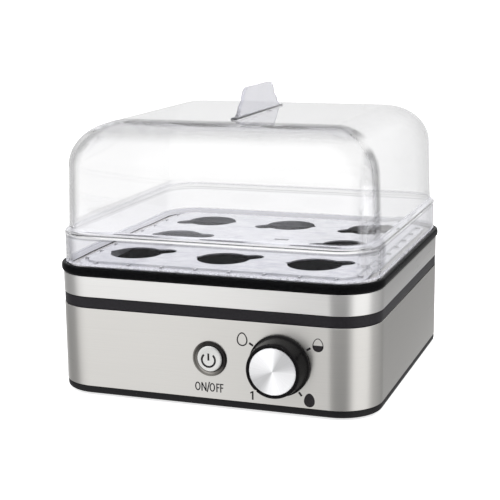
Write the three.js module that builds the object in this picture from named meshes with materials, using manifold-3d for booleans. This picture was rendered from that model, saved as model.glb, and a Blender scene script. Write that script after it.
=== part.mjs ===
// An egg boiler: a brushed steel body with two black rings, a coated bowl over a tubular heater,
// a clear tray for eight eggs and a clear hood that lifts off. Millimetres, +Z up, front towards -Y.
import * as THREE from "three";
import { mergeVertices } from "three/addons/utils/BufferGeometryUtils.js";
import Module from "manifold-3d";

const wasm = await Module();
wasm.setup();

// Body: outline of the steel and the heights of the stacked bands, from the feet up
const body_width = 200;
const body_depth = 197;
const body_corner = 25;
const foot_stand = 1.5;
const pan_lip = 4.2;
const lower_height = 49.1;
const middle_height = 6.4;
const upper_height = 13;
const ring_height = 5.4;
const sheet = 0.8;
const moulded_wall = 2;

// Clearances
const seat = 0.3;
const slack = 0.4;
const overrun = 5;
const weld = 0.0001;

// Shelf inside the upper ring, where hood and bowl stand
const shelf_depth = 2.1;
const shelf_inset = 12;
const shelf_thickness = 1.8;
const seal_thickness = 0.7;
const bowl_gauge = 1.2;
const bowl_depth = 18;

// Hood
const hood_inset = 1.8;
const hood_wall = 2.2;
const skirt_height = 19.8;
const shoulder_inset = 2.6;
const shoulder_rise = 2.4;
const hood_draft = 1.3;
const hood_height = 85.7;
const roof_radius = 28;
const roof_corner = 6;

// Egg tray
const tray_inset = 10;
const border_width = 5;
const border_thickness = 1.2;
const tray_rise = 1.4;
const egg_hole_radius = 16.2;
const egg_side_inset = 42.5;
const egg_end_inset = 43.5;
const egg_row_shift = 3.9;

// Controls on the front
const control_height = 28.9;
const knob_x = 45.6;
const knob_reach = 14;
const button_x = 2.8;
const button_radius = 7.75;
const button_travel = 1.5;

// Cord gland at the rear
const cord_side_inset = 40;
const cord_height = 12.5;
const cord_bore_radius = 3.4;

const corner_steps = 5;
const post_sides = 12;
const hole_sides = 8;
const turned_sides = 32;
const small_sides = 24;
const right_angle = Math.PI / 2;
const half_turn = 180;

// Levels and half sizes that the pieces share
const half_x = body_width / 2;
const half_y = body_depth / 2;
const front_y = -half_y;
const egg_pitch_x = half_x - egg_side_inset;
const egg_pitch_y = half_y - egg_end_inset;
const cord_x = -(half_x - cord_side_inset);
const pan_z = foot_stand;
const lower_z = pan_z + pan_lip;
const middle_z = lower_z + lower_height;
const upper_z = middle_z + middle_height;
const ring_z = upper_z + upper_height;
const ring_top = ring_z + ring_height;
const ledge_z = ring_top - shelf_depth;
const tongue_inset = sheet + seat;
const tongue_inner = tongue_inset + moulded_wall;
const bowl_flange_inset = hood_inset + hood_wall + slack + seat;
const seal_z = ledge_z - bowl_gauge - seat - seal_thickness;
const shelf_z = seal_z - seat;
const bowl_floor_z = ledge_z - bowl_depth;
const bowl_under_z = bowl_floor_z - bowl_gauge;
const boss_inset = 8;

// Middle ring: flange inside the body that the straps hold on to
const flange_lift = 0.7;
const flange_thickness = 2;
const flange_z = middle_z + flange_lift;
const flange_top = flange_z + flange_thickness;

const steel = material(0xd8d7d2, 0.32, 0.9);
const black_plastic = material(0x1c1c1e, 0.42, 0);
const coated = material(0x2a2b2d, 0.5, 0.3);
const clear_plastic = clear(material(0xf3f5f8, 0.06, 0), 0.3);
const aluminium = material(0xc9cbcd, 0.35, 0.9);
const spun_metal = material(0xe6e7e8, 0.22, 0.95);
const dark_chrome = material(0x55565a, 0.2, 0.9);
const bright_steel = material(0xb9bbbd, 0.3, 0.9);
const rubber = material(0x202020, 0.8, 0);
const silicone = material(0xb8482f, 0.6, 0);
const ceramic = material(0xe9e4d8, 0.7, 0);
const board_green = material(0x2f6b3f, 0.5, 0);
const brown_plastic = material(0x6b4a2c, 0.5, 0);

function material(color, roughness, metalness) {
  return new THREE.MeshStandardMaterial({ color, roughness, metalness });
}

function clear(base, opacity) {
  base.transparent = true;
  base.opacity = opacity;
  return base;
}

// Solids: closed geometry in, closed geometry out

function solidOf(geometry) {
  const bare = geometry.clone();
  bare.deleteAttribute("normal");
  bare.deleteAttribute("uv");
  const merged = mergeVertices(bare, weld);
  return new wasm.Manifold(
    new wasm.Mesh({
      numProp: 3,
      vertProperties: merged.attributes.position.array,
      triVerts: new Uint32Array(merged.index.array),
    }),
  );
}

function geometryOf(solid) {
  const mesh = solid.getMesh();
  const indexed = new THREE.BufferGeometry();
  indexed.setAttribute("position", new THREE.BufferAttribute(new Float32Array(mesh.vertProperties), 3));
  indexed.setIndex(new THREE.BufferAttribute(new Uint32Array(mesh.triVerts), 1));
  const flat = indexed.toNonIndexed();
  flat.computeVertexNormals();
  return flat;
}

function join(first, ...others) {
  let solid = solidOf(first);
  for (const other of others) solid = solid.add(solidOf(other));
  return geometryOf(solid);
}

function cut(first, ...tools) {
  let solid = solidOf(first);
  for (const tool of tools) solid = solid.subtract(solidOf(tool));
  return geometryOf(solid);
}

function at(geometry, x, y, z) {
  return geometry.clone().translate(x, y, z);
}

// A closed skin over rows of points: each row joins the next, and the two ends are capped or joined
function skinned(rows, looped) {
  const count = rows[0].length;
  const points = rows.flat();
  const faces = [];
  const last = looped ? rows.length : rows.length - 1;
  for (let r = 0; r < last; r++) {
    const here = r * count;
    const next = ((r + 1) % rows.length) * count;
    for (let i = 0; i < count; i++) {
      const j = (i + 1) % count;
      faces.push(here + i, here + j, next + j, here + i, next + j, next + i);
    }
  }
  if (!looped) {
    capRow(points, faces, rows[0], 0, true);
    capRow(points, faces, rows[rows.length - 1], (rows.length - 1) * count, false);
  }
  if (signedVolume(points, faces) < 0) faces.reverse();
  const geometry = new THREE.BufferGeometry();
  geometry.setAttribute("position", new THREE.Float32BufferAttribute(points.flat(), 3));
  geometry.setIndex(faces);
  geometry.computeVertexNormals();
  return geometry;
}

function capRow(points, faces, row, start, first) {
  const middle = [0, 1, 2].map((axis) => row.reduce((sum, point) => sum + point[axis], 0) / row.length);
  const hub = points.push(middle) - 1;
  for (let i = 0; i < row.length; i++) {
    const j = (i + 1) % row.length;
    if (first) faces.push(hub, start + j, start + i);
    else faces.push(hub, start + i, start + j);
  }
}

function signedVolume(points, faces) {
  let volume = 0;
  for (let f = 0; f < faces.length; f += 3) {
    const [a, b, c] = [0, 1, 2].map((k) => new THREE.Vector3(...points[faces[f + k]]));
    volume += a.dot(b.cross(c));
  }
  return volume;
}

// One level row of points round a rounded rectangle
function roundedRow(reach_x, reach_y, corner, z) {
  const row = [];
  for (let quarter = 0; quarter < 4; quarter++) {
    const side_x = quarter === 0 || quarter === 3 ? 1 : -1;
    const side_y = quarter < 2 ? 1 : -1;
    for (let step = 0; step <= corner_steps; step++) {
      const angle = (quarter + step / corner_steps) * right_angle;
      row.push([
        side_x * (reach_x - corner) + corner * Math.cos(angle),
        side_y * (reach_y - corner) + corner * Math.sin(angle),
        z,
      ]);
    }
  }
  return row;
}

// A row that follows the body's outline at an inset
function bodyRow(inset, z) {
  return roundedRow(half_x - inset, half_y - inset, body_corner - inset, z);
}

function bodyFrame(profile) {
  return skinned(profile.map(([inset, z]) => bodyRow(inset, z)), true);
}

function sheetBand(bottom, height) {
  return bodyFrame([
    [0, bottom + seat],
    [0, bottom + height - seat],
    [sheet, bottom + height - seat],
    [sheet, bottom + seat],
  ]);
}

function box(width, depth, height) {
  return new THREE.BoxGeometry(width, depth, height).translate(0, 0, height / 2);
}

// A cylinder that stands on the origin
function post(radius, height, sides = post_sides) {
  return new THREE.CylinderGeometry(radius, radius, height, sides)
    .rotateX(right_angle)
    .translate(0, 0, height / 2);
}

// The tool for a round hole: its flats, not its corners, lie at the radius, so a pin of that size passes
function bore(radius, height, sides = hole_sides) {
  return post(radius / Math.cos(Math.PI / sides), height, sides);
}

// A profile of [radius, height] pairs turned about +Z, closed on itself or on the axis
function turned(profile, sides = turned_sides) {
  const points = profile.map(([radius, height]) => new THREE.Vector2(radius, height));
  const geometry = new THREE.LatheGeometry(points, sides).rotateX(right_angle);
  if (meshVolume(geometry) < 0) flip(geometry);
  return geometry;
}

function meshVolume(geometry) {
  const position = geometry.getAttribute("position");
  const points = [];
  for (let i = 0; i < position.count; i++) {
    points.push([position.getX(i), position.getY(i), position.getZ(i)]);
  }
  return signedVolume(points, Array.from(geometry.index.array));
}

function flip(geometry) {
  geometry.setIndex(Array.from(geometry.index.array).reverse());
}

// Turns what stands along +Z to point out of the front, towards -Y
function facing(geometry) {
  return geometry.clone().rotateX(right_angle);
}

function nut(flats, thickness, bore_radius) {
  const corner_share = 1 / Math.cos(Math.PI / 6);
  const body = post((flats / 2) * corner_share, thickness, 6);
  return cut(body, at(bore(bore_radius, thickness + 2 * overrun), 0, 0, -overrun));
}

function screw(head_radius, head_height, shank_radius, shank_length) {
  const slot_width = shank_radius / 2;
  const slot_depth = head_height / 2;
  const head = cut(
    post(head_radius, head_height),
    at(box(2 * head_radius + overrun, slot_width, head_height), 0, 0, slot_depth - head_height),
  );
  const sunk = (head_height - slot_depth) / 2;
  const shank = post(shank_radius, shank_length + sunk, hole_sides);
  return join(head, at(shank, 0, 0, head_height - sunk));
}

const corners = [
  ["front_left", -1, -1],
  ["front_right", 1, -1],
  ["rear_left", -1, 1],
  ["rear_right", 1, 1],
];

const part = new THREE.Group();

function add(name, geometry, finish, parent = part) {
  const mesh = new THREE.Mesh(geometry, finish);
  mesh.name = name;
  parent.add(mesh);
  return mesh;
}

// Feet in shallow recesses of the pan
const foot_radius = 7;
const foot_recess = 1.2;
const foot_inset = 20;
const foot_round = 1;

function foot() {
  return turned([
    [0, 0],
    [foot_radius - foot_round, 0],
    [foot_radius, foot_round],
    [foot_radius, foot_stand + foot_recess - seat],
    [0, foot_stand + foot_recess - seat],
  ], post_sides);
}

function footPlace(side_x, side_y) {
  return [side_x * (half_x - foot_inset), side_y * (half_y - foot_inset)];
}

// Base pan: moulded floor with an upstand inside the steel, bosses, board posts and vent slots
const pan_floor = 2.5;
const pan_tuck = 1.2;
const pan_round = 2;
const upstand_height = 16;
const pan_boss_radius = 5;
const pan_boss_height = 8;
const base_screw_spread = 35;
const base_head_radius = 3.1;
const base_head_height = 2.2;
const shank_radius = 1.4;
const base_head_recess = 4;
const board_width = 80;
const board_depth = 66;
const board_side_room = 20;
const board_x = -(half_x - board_side_room - board_width / 2);
const board_y = 12;
const board_hole_inset = 5;
const board_post_radius = 2.6;
const board_post_height = 7;
const vent_width = 3;
const vent_length = 30;
const vent_pitch = 8;
const vent_count = 7;
const vent_x = 45;

function baseScrewPlace(side_x, side_y) {
  return [side_x * (half_x - boss_inset), side_y * base_screw_spread];
}

function boardPostPlace(side_x, side_y) {
  return [
    board_x + side_x * (board_width / 2 - board_hole_inset),
    board_y + side_y * (board_depth / 2 - board_hole_inset),
  ];
}

function basePan() {
  const edge = sheet / 4;
  let pan = skinned(
    [
      [pan_tuck, pan_z],
      [edge + (pan_tuck - edge) * 0.3, pan_z + pan_round * 0.3],
      [edge, pan_z + pan_round],
      [edge, lower_z],
      [tongue_inset, lower_z],
      [tongue_inset, pan_z + upstand_height],
      [tongue_inner, pan_z + upstand_height],
      [tongue_inner, pan_z + pan_floor],
    ].map(([inset, z]) => bodyRow(inset, z)),
    false,
  );
  const bosses = [];
  const holes = [];
  for (const [, side_x, side_y] of corners) {
    const [screw_x, screw_y] = baseScrewPlace(side_x, side_y);
    const [post_x, post_y] = boardPostPlace(side_x, side_y);
    const [foot_x, foot_y] = footPlace(side_x, side_y);
    const rise = pan_boss_height - pan_floor / 2;
    const board_post = post(board_post_radius, board_post_height, hole_sides);
    const head_room = bore(base_head_radius + slack, foot_stand + base_head_recess, post_sides);
    const foot_room = bore(foot_radius + seat, foot_stand + foot_recess, post_sides);
    bosses.push(at(post(pan_boss_radius, rise), screw_x, screw_y, pan_z + pan_floor / 2));
    bosses.push(at(board_post, post_x, post_y, pan_z + pan_floor / 2));
    holes.push(at(bore(shank_radius + seat, 2 * pan_boss_height), screw_x, screw_y, 0));
    holes.push(at(head_room, screw_x, screw_y, 0));
    holes.push(at(foot_room, foot_x, foot_y, 0));
  }
  pan = join(pan, ...bosses);
  for (let i = 0; i < vent_count; i++) {
    const y = (i - (vent_count - 1) / 2) * vent_pitch;
    holes.push(at(box(vent_length, vent_width, pan_floor + 2 * overrun), vent_x, y, pan_z - overrun));
  }
  holes.push(grommetHole());
  return cut(pan, ...holes);
}

// Cord gland: a rubber grommet whose neck passes the steel and the pan's upstand
const grommet_wall = 1.8;
const grommet_flange = 2;
const grommet_proud = 2.4;
const grommet_inner_flange = 1.6;

function grommetHole() {
  const radius = cord_bore_radius + grommet_wall + seat;
  const length = tongue_inner + 2 * overrun;
  const hole = bore(radius, length, post_sides).rotateX(-right_angle);
  return at(hole, cord_x, half_y - tongue_inner - overrun, pan_z + cord_height);
}

function grommet() {
  const neck = cord_bore_radius + grommet_wall;
  const outer = neck + grommet_flange;
  const passed = tongue_inner + 2 * seat;
  const back = -grommet_inner_flange;
  return turned([
    [cord_bore_radius, back],
    [outer - seat, back],
    [outer - seat, 0],
    [neck, 0],
    [neck, passed],
    [outer, passed],
    [outer, passed + grommet_proud * 0.5],
    [outer - grommet_flange * 0.4, passed + grommet_proud - seat],
    [cord_bore_radius, passed + grommet_proud - seat],
    [cord_bore_radius, back],
  ], post_sides);
}

// Steel casing and band
const bezel_sleeve_radius = 9.2;
const shaft_radius = 3;
const panel_hole_radius = 5;

function frontHole(radius, x) {
  const hole = facing(bore(radius, 2 * overrun, turned_sides));
  return at(hole, x, front_y + overrun, pan_z + control_height);
}

function lowerCasing() {
  return cut(
    sheetBand(lower_z, lower_height),
    frontHole(bezel_sleeve_radius + seat, button_x),
    frontHole(panel_hole_radius, knob_x),
    grommetHole(),
  );
}

// Middle ring: the black line between the steel parts, with tongues into both and a flange inside
const ring_recess = 0.3;
const tongue_length = 5;
const pillar_radius = 4.3;
const pilot_depth = 14;
const ring_screw_spread = 50;
const ring_boss_radius = 3.4;
const ring_head_height = 2;

function ringScrewPlace(side_x, side_y) {
  return [side_x * ring_screw_spread, side_y * (half_y - boss_inset)];
}

function middleRing() {
  const frame = bodyFrame([
    [ring_recess, middle_z],
    [tongue_inset, middle_z],
    [tongue_inset, middle_z - tongue_length],
    [tongue_inner, middle_z - tongue_length],
    [tongue_inner, flange_z],
    [shelf_inset, flange_z],
    [shelf_inset, flange_top],
    [tongue_inner, flange_top],
    [tongue_inner, upper_z + tongue_length],
    [tongue_inset, upper_z + tongue_length],
    [tongue_inset, upper_z],
    [ring_recess, upper_z],
  ]);
  const pillar_z = pan_z + pan_boss_height + seat;
  const pillars = [];
  const holes = [];
  for (const [, side_x, side_y] of corners) {
    const [pillar_x, pillar_y] = baseScrewPlace(side_x, side_y);
    const [screw_x, screw_y] = ringScrewPlace(side_x, side_y);
    pillars.push(at(post(pillar_radius, flange_z + seat - pillar_z), pillar_x, pillar_y, pillar_z));
    holes.push(at(bore(shank_radius + seat, pilot_depth + seat), pillar_x, pillar_y, pillar_z - seat));
    const through = flange_thickness + 2 * overrun;
    holes.push(at(bore(shank_radius + seat, through), screw_x, screw_y, flange_z - overrun));
  }
  return cut(join(frame, ...pillars), ...holes);
}

// Upper ring: a rounded lip outside the hood, a ledge for the hood and a shelf for the bowl
const ring_proud = 1.1;

function upperRing() {
  const lip_inset = hood_inset - slack;
  const riser_inset = bowl_flange_inset - seat;
  const round_shares = [
    [0.8, 0.18],
    [1, 0.42],
    [0.85, 0.8],
    [0.3, 0.96],
  ];
  const frame = bodyFrame([
    [0, ring_z],
    ...round_shares.map(([out, up]) => [-ring_proud * out, ring_z + ring_height * up]),
    [lip_inset / 3, ring_top],
    [lip_inset, ring_top],
    [lip_inset, ledge_z],
    [riser_inset, ledge_z],
    [riser_inset, shelf_z],
    [shelf_inset, shelf_z],
    [shelf_inset, shelf_z - shelf_thickness],
    [tongue_inner, shelf_z - shelf_thickness],
    [tongue_inner, ring_z - tongue_length],
    [tongue_inset, ring_z - tongue_length],
    [tongue_inset, ring_z],
  ]);
  const boss_z = flange_top + seat;
  const bosses = [];
  const pilots = [];
  for (const [, side_x, side_y] of corners) {
    const [x, y] = ringScrewPlace(side_x, side_y);
    bosses.push(at(post(ring_boss_radius, shelf_z - shelf_thickness / 2 - boss_z), x, y, boss_z));
    pilots.push(at(bore(shank_radius + seat, ringPilotDepth() + seat), x, y, boss_z - seat));
  }
  return cut(join(frame, ...bosses), ...pilots);
}

function ringPilotDepth() {
  return (shelf_z - flange_top) * 0.75;
}

// Heating bowl: pressed dish with a flat flange and four welded studs
const bowl_mouth_inset = 13.5;
const bowl_lip_round = 1.5;
const bowl_foot_inset = 22;
const bowl_foot_round = 3.5;
const bowl_corner = 16;
const stud_radius = 2;
const stud_length = 10;
const stud_side_inset = 50;
const strap_inset = 36.5;
const stud_x = half_x - stud_side_inset;
const strap_y = half_y - strap_inset;

function bowlRow(inset, z) {
  return roundedRow(half_x - inset, half_y - inset, bowl_corner, z);
}

function heatingBowl() {
  const flangeRow = (z) => bodyRow(bowl_flange_inset, z);
  const bend = bowl_gauge * 0.3;
  const dish = skinned(
    [
      bowlRow(bowl_foot_inset + bowl_foot_round - bend, bowl_under_z),
      bowlRow(bowl_foot_inset - bowl_gauge + bend, bowl_under_z + bowl_foot_round * 0.5),
      bowlRow(bowl_foot_inset - bowl_gauge - bend, bowl_floor_z + bowl_foot_round),
      bowlRow(bowl_mouth_inset + bowl_lip_round - bowl_gauge, ledge_z - bowl_lip_round - bend),
      bowlRow(bowl_mouth_inset - bend, ledge_z - bowl_gauge),
      flangeRow(ledge_z - bowl_gauge),
      flangeRow(ledge_z),
      bowlRow(bowl_mouth_inset, ledge_z),
      bowlRow(bowl_mouth_inset + bowl_lip_round, ledge_z - bowl_lip_round),
      bowlRow(bowl_foot_inset, bowl_floor_z + bowl_foot_round),
      bowlRow(bowl_foot_inset + bowl_foot_round * 0.3, bowl_floor_z + bowl_foot_round * 0.3),
      bowlRow(bowl_foot_inset + bowl_foot_round, bowl_floor_z),
    ],
    false,
  );
  const studs = corners.map(([, side_x, side_y]) =>
    at(
      post(stud_radius, stud_length + bowl_gauge / 2, hole_sides),
      side_x * stud_x,
      side_y * strap_y,
      bowl_under_z - stud_length,
    ),
  );
  return join(dish, ...studs);
}

function bowlSeal() {
  const outer = bowl_flange_inset + seat;
  const inner = shelf_inset - seat;
  return bodyFrame([
    [outer, seal_z],
    [outer, seal_z + seal_thickness],
    [inner, seal_z + seal_thickness],
    [inner, seal_z],
  ]);
}

// Straps pull the bowl down on its seal: they bear on the middle ring's flange from below
const strap_width = 14;
const strap_thickness = 1.5;
const strap_grip = 5;
const nut_flats = 7;
const nut_thickness = 3.2;
const strap_z = flange_z - seat - strap_thickness;

function strap() {
  const length = 2 * (half_x - shelf_inset + strap_grip);
  const rib_height = strap_thickness;
  const rib = at(box(2 * (stud_x - nut_flats), strap_width / 3, rib_height), 0, 0, -rib_height / 2);
  const bar = join(box(length, strap_width, strap_thickness), rib);
  const holes = [-1, 1].map((side) =>
    at(bore(stud_radius + seat, strap_thickness + 2 * overrun), side * stud_x, 0, -overrun),
  );
  return cut(bar, ...holes);
}

// Heater under the bowl: a spreader plate, and a tube bent to a loop below it
const plate_thickness = 2;
const plate_side_inset = 40;
const plate_end_gap = 5;
const plate_half_x = half_x - plate_side_inset;
const plate_half_y = strap_y - strap_width / 2 - plate_end_gap;
const plate_corner = 12;
const plate_z = bowl_under_z - seat - plate_thickness;
const clip_stud_x = 26;
const thermostat_radius = 8;
const thermostat_height = 8;
const clip_stud_radius = 1.6;
const clip_stud_length = 15;
const element_radius = 3.3;
const element_inset = 10;
const element_gap = 26;
const element_run = 15;
const element_half_x = plate_half_x - element_inset;
const element_half_y = plate_half_y - element_inset;
const element_bend = element_half_x - element_gap / 2 - element_run;
const element_drop = 14;
const pin_radius = 1.3;
const pin_length = 9;
const element_steps = 32;

function diffuserPlate() {
  const slab = skinned(
    [0, plate_thickness].map((z) => roundedRow(plate_half_x, plate_half_y, plate_corner, plate_z + z)),
    false,
  );
  const studs = [-1, 1].map((side) =>
    at(
      post(clip_stud_radius, clip_stud_length + plate_thickness / 2, hole_sides),
      side * clip_stud_x,
      0,
      plate_z - clip_stud_length,
    ),
  );
  return join(slab, ...studs);
}

// The loop runs from one terminal, round the plate, to the other; its ends turn down
function elementPath() {
  const z = plate_z - seat - element_radius;
  const x = element_half_x;
  const y = element_half_y;
  const bend = element_bend;
  const end = element_gap / 2;
  const point = (px, py, pz = z) => new THREE.Vector3(px, py, pz);
  const path = new THREE.CurvePath();
  const down = element_radius * 3;
  const start = point(-end, -y, z - element_drop);
  let reached = start;
  const straight = (to) => {
    path.add(new THREE.LineCurve3(reached, to));
    reached = to;
  };
  const bent = (by, to) => {
    path.add(new THREE.QuadraticBezierCurve3(reached, by, to));
    reached = to;
  };
  straight(point(-end, -y, z - down));
  bent(point(-end, -y), point(-end - down, -y));
  straight(point(-x + bend, -y));
  bent(point(-x, -y), point(-x, -y + bend));
  straight(point(-x, y - bend));
  bent(point(-x, y), point(-x + bend, y));
  straight(point(x - bend, y));
  bent(point(x, y), point(x, y - bend));
  straight(point(x, -y + bend));
  bent(point(x, -y), point(x - bend, -y));
  straight(point(end + down, -y));
  bent(point(end, -y), point(end, -y, z - down));
  straight(point(end, -y, z - element_drop));
  return path;
}

function tubeAlong(path, radius, sides, steps) {
  const section = new THREE.Shape();
  for (let i = 0; i < sides; i++) {
    const angle = (i / sides) * 4 * right_angle;
    const x = radius * Math.cos(angle);
    const y = radius * Math.sin(angle);
    if (i) section.lineTo(x, y);
    else section.moveTo(x, y);
  }
  return new THREE.ExtrudeGeometry(section, { steps, bevelEnabled: false, extrudePath: path });
}

function heatingElement() {
  const path = elementPath();
  const end_z = plate_z - seat - element_radius - element_drop;
  const pins = [-1, 1].map((side) =>
    at(
      post(pin_radius, pin_length + element_radius, hole_sides),
      (side * element_gap) / 2,
      -element_half_y,
      end_z - pin_length,
    ),
  );
  return join(tubeAlong(path, element_radius, hole_sides, element_steps), ...pins);
}

// Thermostat and fuse, held on the plate by one clip
const terminal_width = 6;
const terminal_thickness = 0.8;
const terminal_length = 7;
const fuse_radius = 2;
const fuse_length = 14;
const fuse_lead_radius = 0.6;
const fuse_lead_length = 9;
const fuse_x = 15;
const clip_width = 10;
const clip_thickness = 1;
const clip_nut_flats = 5.5;
const clip_nut_thickness = 2.4;
const thermostat_z = plate_z - seat - thermostat_height;
const clip_z = thermostat_z - seat - clip_thickness;

function thermostat() {
  const cap_share = 0.3;
  const cap_height = thermostat_height * cap_share;
  const flange_reach = thermostat_radius * 0.85;
  const body = turned([
    [0, 0],
    [flange_reach, 0],
    [flange_reach, thermostat_height - cap_height],
    [thermostat_radius, thermostat_height - cap_height],
    [thermostat_radius, thermostat_height],
    [0, thermostat_height],
  ], post_sides);
  const tabs = [-1, 1].map((side) =>
    at(
      box(terminal_width, terminal_length, terminal_thickness),
      0,
      side * (thermostat_radius + terminal_length / 2 - terminal_thickness * 2),
      terminal_thickness,
    ),
  );
  return join(body, ...tabs);
}

function thermalFuse() {
  const body = post(fuse_radius, fuse_length);
  const lead_total = fuse_length + 2 * fuse_lead_length;
  const lead = at(post(fuse_lead_radius, lead_total, hole_sides), 0, 0, -fuse_lead_length);
  return join(body, lead).rotateX(right_angle).translate(0, fuse_length / 2, 0);
}

function sensorClip() {
  const length = 2 * clip_stud_x + clip_width;
  const saddle_height = thermostat_height - 2 * fuse_radius;
  const bar = join(
    box(length, clip_width, clip_thickness),
    at(box(2 * fuse_radius, clip_width, saddle_height + clip_thickness), fuse_x, 0, 0),
  );
  const holes = [-1, 1].map((side) =>
    at(bore(clip_stud_radius + seat, clip_thickness + 2 * overrun), side * clip_stud_x, 0, -overrun),
  );
  return cut(bar, ...holes);
}

// Egg tray: a plate with eight notched holes, a ribbed border that lies on the bowl's flange
const ear_radius = 6;
const ear_reach = 19;
const row_ear_angle = 30;
const middle_ear_angle = 12;
const nick_radius = 5;
const nick_reach = 18.5;
const steam_slot_width = 3.4;
const steam_slot_length = 10;
const steam_slot_x = 13;
const steam_slot_y = 6;
const rib_width = 1.2;
const rib_count = 8;
const tray_skirt_inset = 18;
const tray_skirt_wall = 1.5;
const tray_skirt_depth = 3.6;

const tray_z = ledge_z + seat;
const tray_top = tray_z + border_thickness + tray_rise;
const plate_inset = tray_inset + border_width;

// Centre and notch direction of each hole; the tray looks the same turned half round
function eggHoles() {
  const holes = [];
  for (const column of [-1, 0, 1]) {
    const x = column * egg_pitch_x;
    holes.push([x - egg_row_shift, -egg_pitch_y, row_ear_angle]);
    holes.push([x + egg_row_shift, egg_pitch_y, row_ear_angle + half_turn]);
  }
  holes.push([-egg_pitch_x, 0, middle_ear_angle]);
  holes.push([egg_pitch_x, 0, middle_ear_angle + half_turn]);
  return holes;
}

// A round hole with a wide notch on one side and a small pointed nick opposite
function eggHoleTool(angle) {
  const height = tray_rise + border_thickness + tray_skirt_depth + 2 * overrun;
  const ear = join(
    at(box(ear_reach, 2 * ear_radius, height), ear_reach / 2, 0, 0),
    at(post(ear_radius, height), ear_reach, 0, 0),
  );
  const back = angle < right_angle ? -1 : 1;
  const nick = at(post(nick_radius, height, 4), back * (nick_reach - nick_radius), 0, 0);
  return join(post(egg_hole_radius, height, small_sides), ear.rotateZ(angle), nick);
}

function eggTray() {
  const low = tray_z;
  const border_top = tray_z + border_thickness;
  const inner = plate_inset + rib_width;
  let tray = skinned(
    [
      [tray_inset, low],
      [tray_inset, border_top],
      [plate_inset, border_top],
      [plate_inset + rib_width / 2, tray_top],
      [inner + rib_width, tray_top],
    ].map(([inset, z]) => bodyRow(inset, z)),
    false,
  );
  tray = cut(tray, undersideHollow());
  tray = join(tray, traySkirt(), ...borderRibs());
  const tools = [];
  for (const [x, y, angle] of eggHoles()) {
    tools.push(at(eggHoleTool((angle / half_turn) * Math.PI), x, y, low - overrun));
  }
  for (const side of [-1, 1]) {
    const slot = box(steam_slot_length, steam_slot_width, 2 * overrun);
    tools.push(at(slot, side * steam_slot_x, side * steam_slot_y, low - overrun / 2));
  }
  return cut(tray, ...tools);
}

// The plate is one wall thick, so its underside is hollow inside the border
function undersideHollow() {
  const rim = plate_inset + 2 * rib_width;
  const roof = tray_top - border_thickness;
  return skinned([bodyRow(rim, tray_z - overrun), bodyRow(rim, roof)], false);
}

function traySkirt() {
  const bottom = tray_z - tray_skirt_depth;
  const top = tray_top - border_thickness / 2;
  const outer = tray_skirt_inset;
  const inner = outer + tray_skirt_wall;
  const rows = [
    [outer, bottom],
    [outer, top],
    [inner, top],
    [inner, bottom],
  ];
  const corner = body_corner - plate_inset;
  return skinned(rows.map(([inset, z]) => roundedRow(half_x - inset, half_y - inset, corner, z)), true);
}

function borderRibs() {
  const length = border_width * 0.8;
  const base = tray_z + border_thickness / 2;
  const height = tray_rise + border_thickness / 4;
  const ribs = [];
  for (let i = 0; i < rib_count; i++) {
    const share = (i - (rib_count - 1) / 2) / ((rib_count - 1) / 2);
    const run_x = share * (half_x - body_corner);
    const run_y = share * (half_y - body_corner);
    for (const side of [-1, 1]) {
      const across = half_y - plate_inset + length / 2 - rib_width;
      const along = half_x - plate_inset + length / 2 - rib_width;
      ribs.push(at(box(rib_width, length, height), run_x, side * across, base));
      ribs.push(at(box(length, rib_width, height), side * along, run_y, base));
    }
  }
  return ribs;
}

// Hood: skirt, shoulder, tapering walls, a roof rolled over all round and an upright grip
const arc_steps = 7;
const grip_base = 90;
const grip_waist = 69;
const grip_waist_rise = 7;
const grip_top = 56;
const grip_height = 17.7;
const grip_round = 8;
const grip_thickness = 2.4;
const grip_foot_width = 4;
const grip_foot_height = 1.2;
const steam_hole_radius = 1.8;
const steam_hole_y = 9;

// Rows from the rim up to the roof, moved inwards for the inner face
function hoodRows(grow) {
  const low = ledge_z + seat;
  const skirt_top = low + skirt_height - grow;
  const skirt_inset = hood_inset + grow;
  const wall_inset = skirt_inset + shoulder_inset;
  const top = low + hood_height - grow;
  const arc = roof_radius - grow;
  const wall_corner = body_corner - wall_inset - hood_draft;
  const rows = [bodyRow(skirt_inset, low), bodyRow(skirt_inset, skirt_top)];
  rows.push(bodyRow(skirt_inset + shoulder_inset * 0.2, skirt_top + shoulder_rise * 0.6));
  rows.push(bodyRow(wall_inset - shoulder_inset * 0.3, skirt_top + shoulder_rise));
  rows.push(bodyRow(wall_inset, skirt_top + shoulder_rise * 1.25));
  for (let step = 0; step <= arc_steps; step++) {
    const angle = (step / arc_steps) * right_angle;
    const inset = wall_inset + hood_draft + arc * (1 - Math.cos(angle));
    const corner = wall_corner + ((roof_corner - wall_corner) * step) / arc_steps;
    rows.push(roundedRow(half_x - inset, half_y - inset, corner, top - arc + arc * Math.sin(angle)));
  }
  return rows;
}

// The grip's outline stands in the plane X = 0: a flared foot, sloping ends and round top corners
function gripOutline() {
  const outline = new THREE.Shape();
  const foot = grip_base / 2;
  const waist = grip_waist / 2;
  const top = grip_top / 2;
  const sunk = -hood_wall / 2;
  outline.moveTo(-foot, sunk);
  outline.lineTo(foot, sunk);
  outline.lineTo(foot, 0);
  outline.quadraticCurveTo(waist + grip_waist_rise / 3, grip_waist_rise / 4, waist, grip_waist_rise);
  outline.lineTo(top + grip_round / 4, grip_height - grip_round);
  outline.quadraticCurveTo(top, grip_height, top - grip_round, grip_height);
  outline.lineTo(-top + grip_round, grip_height);
  outline.quadraticCurveTo(-top, grip_height, -top - grip_round / 4, grip_height - grip_round);
  outline.lineTo(-waist, grip_waist_rise);
  outline.quadraticCurveTo(-waist - grip_waist_rise / 3, grip_waist_rise / 4, -foot, 0);
  outline.lineTo(-foot, sunk);
  return outline;
}

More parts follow.
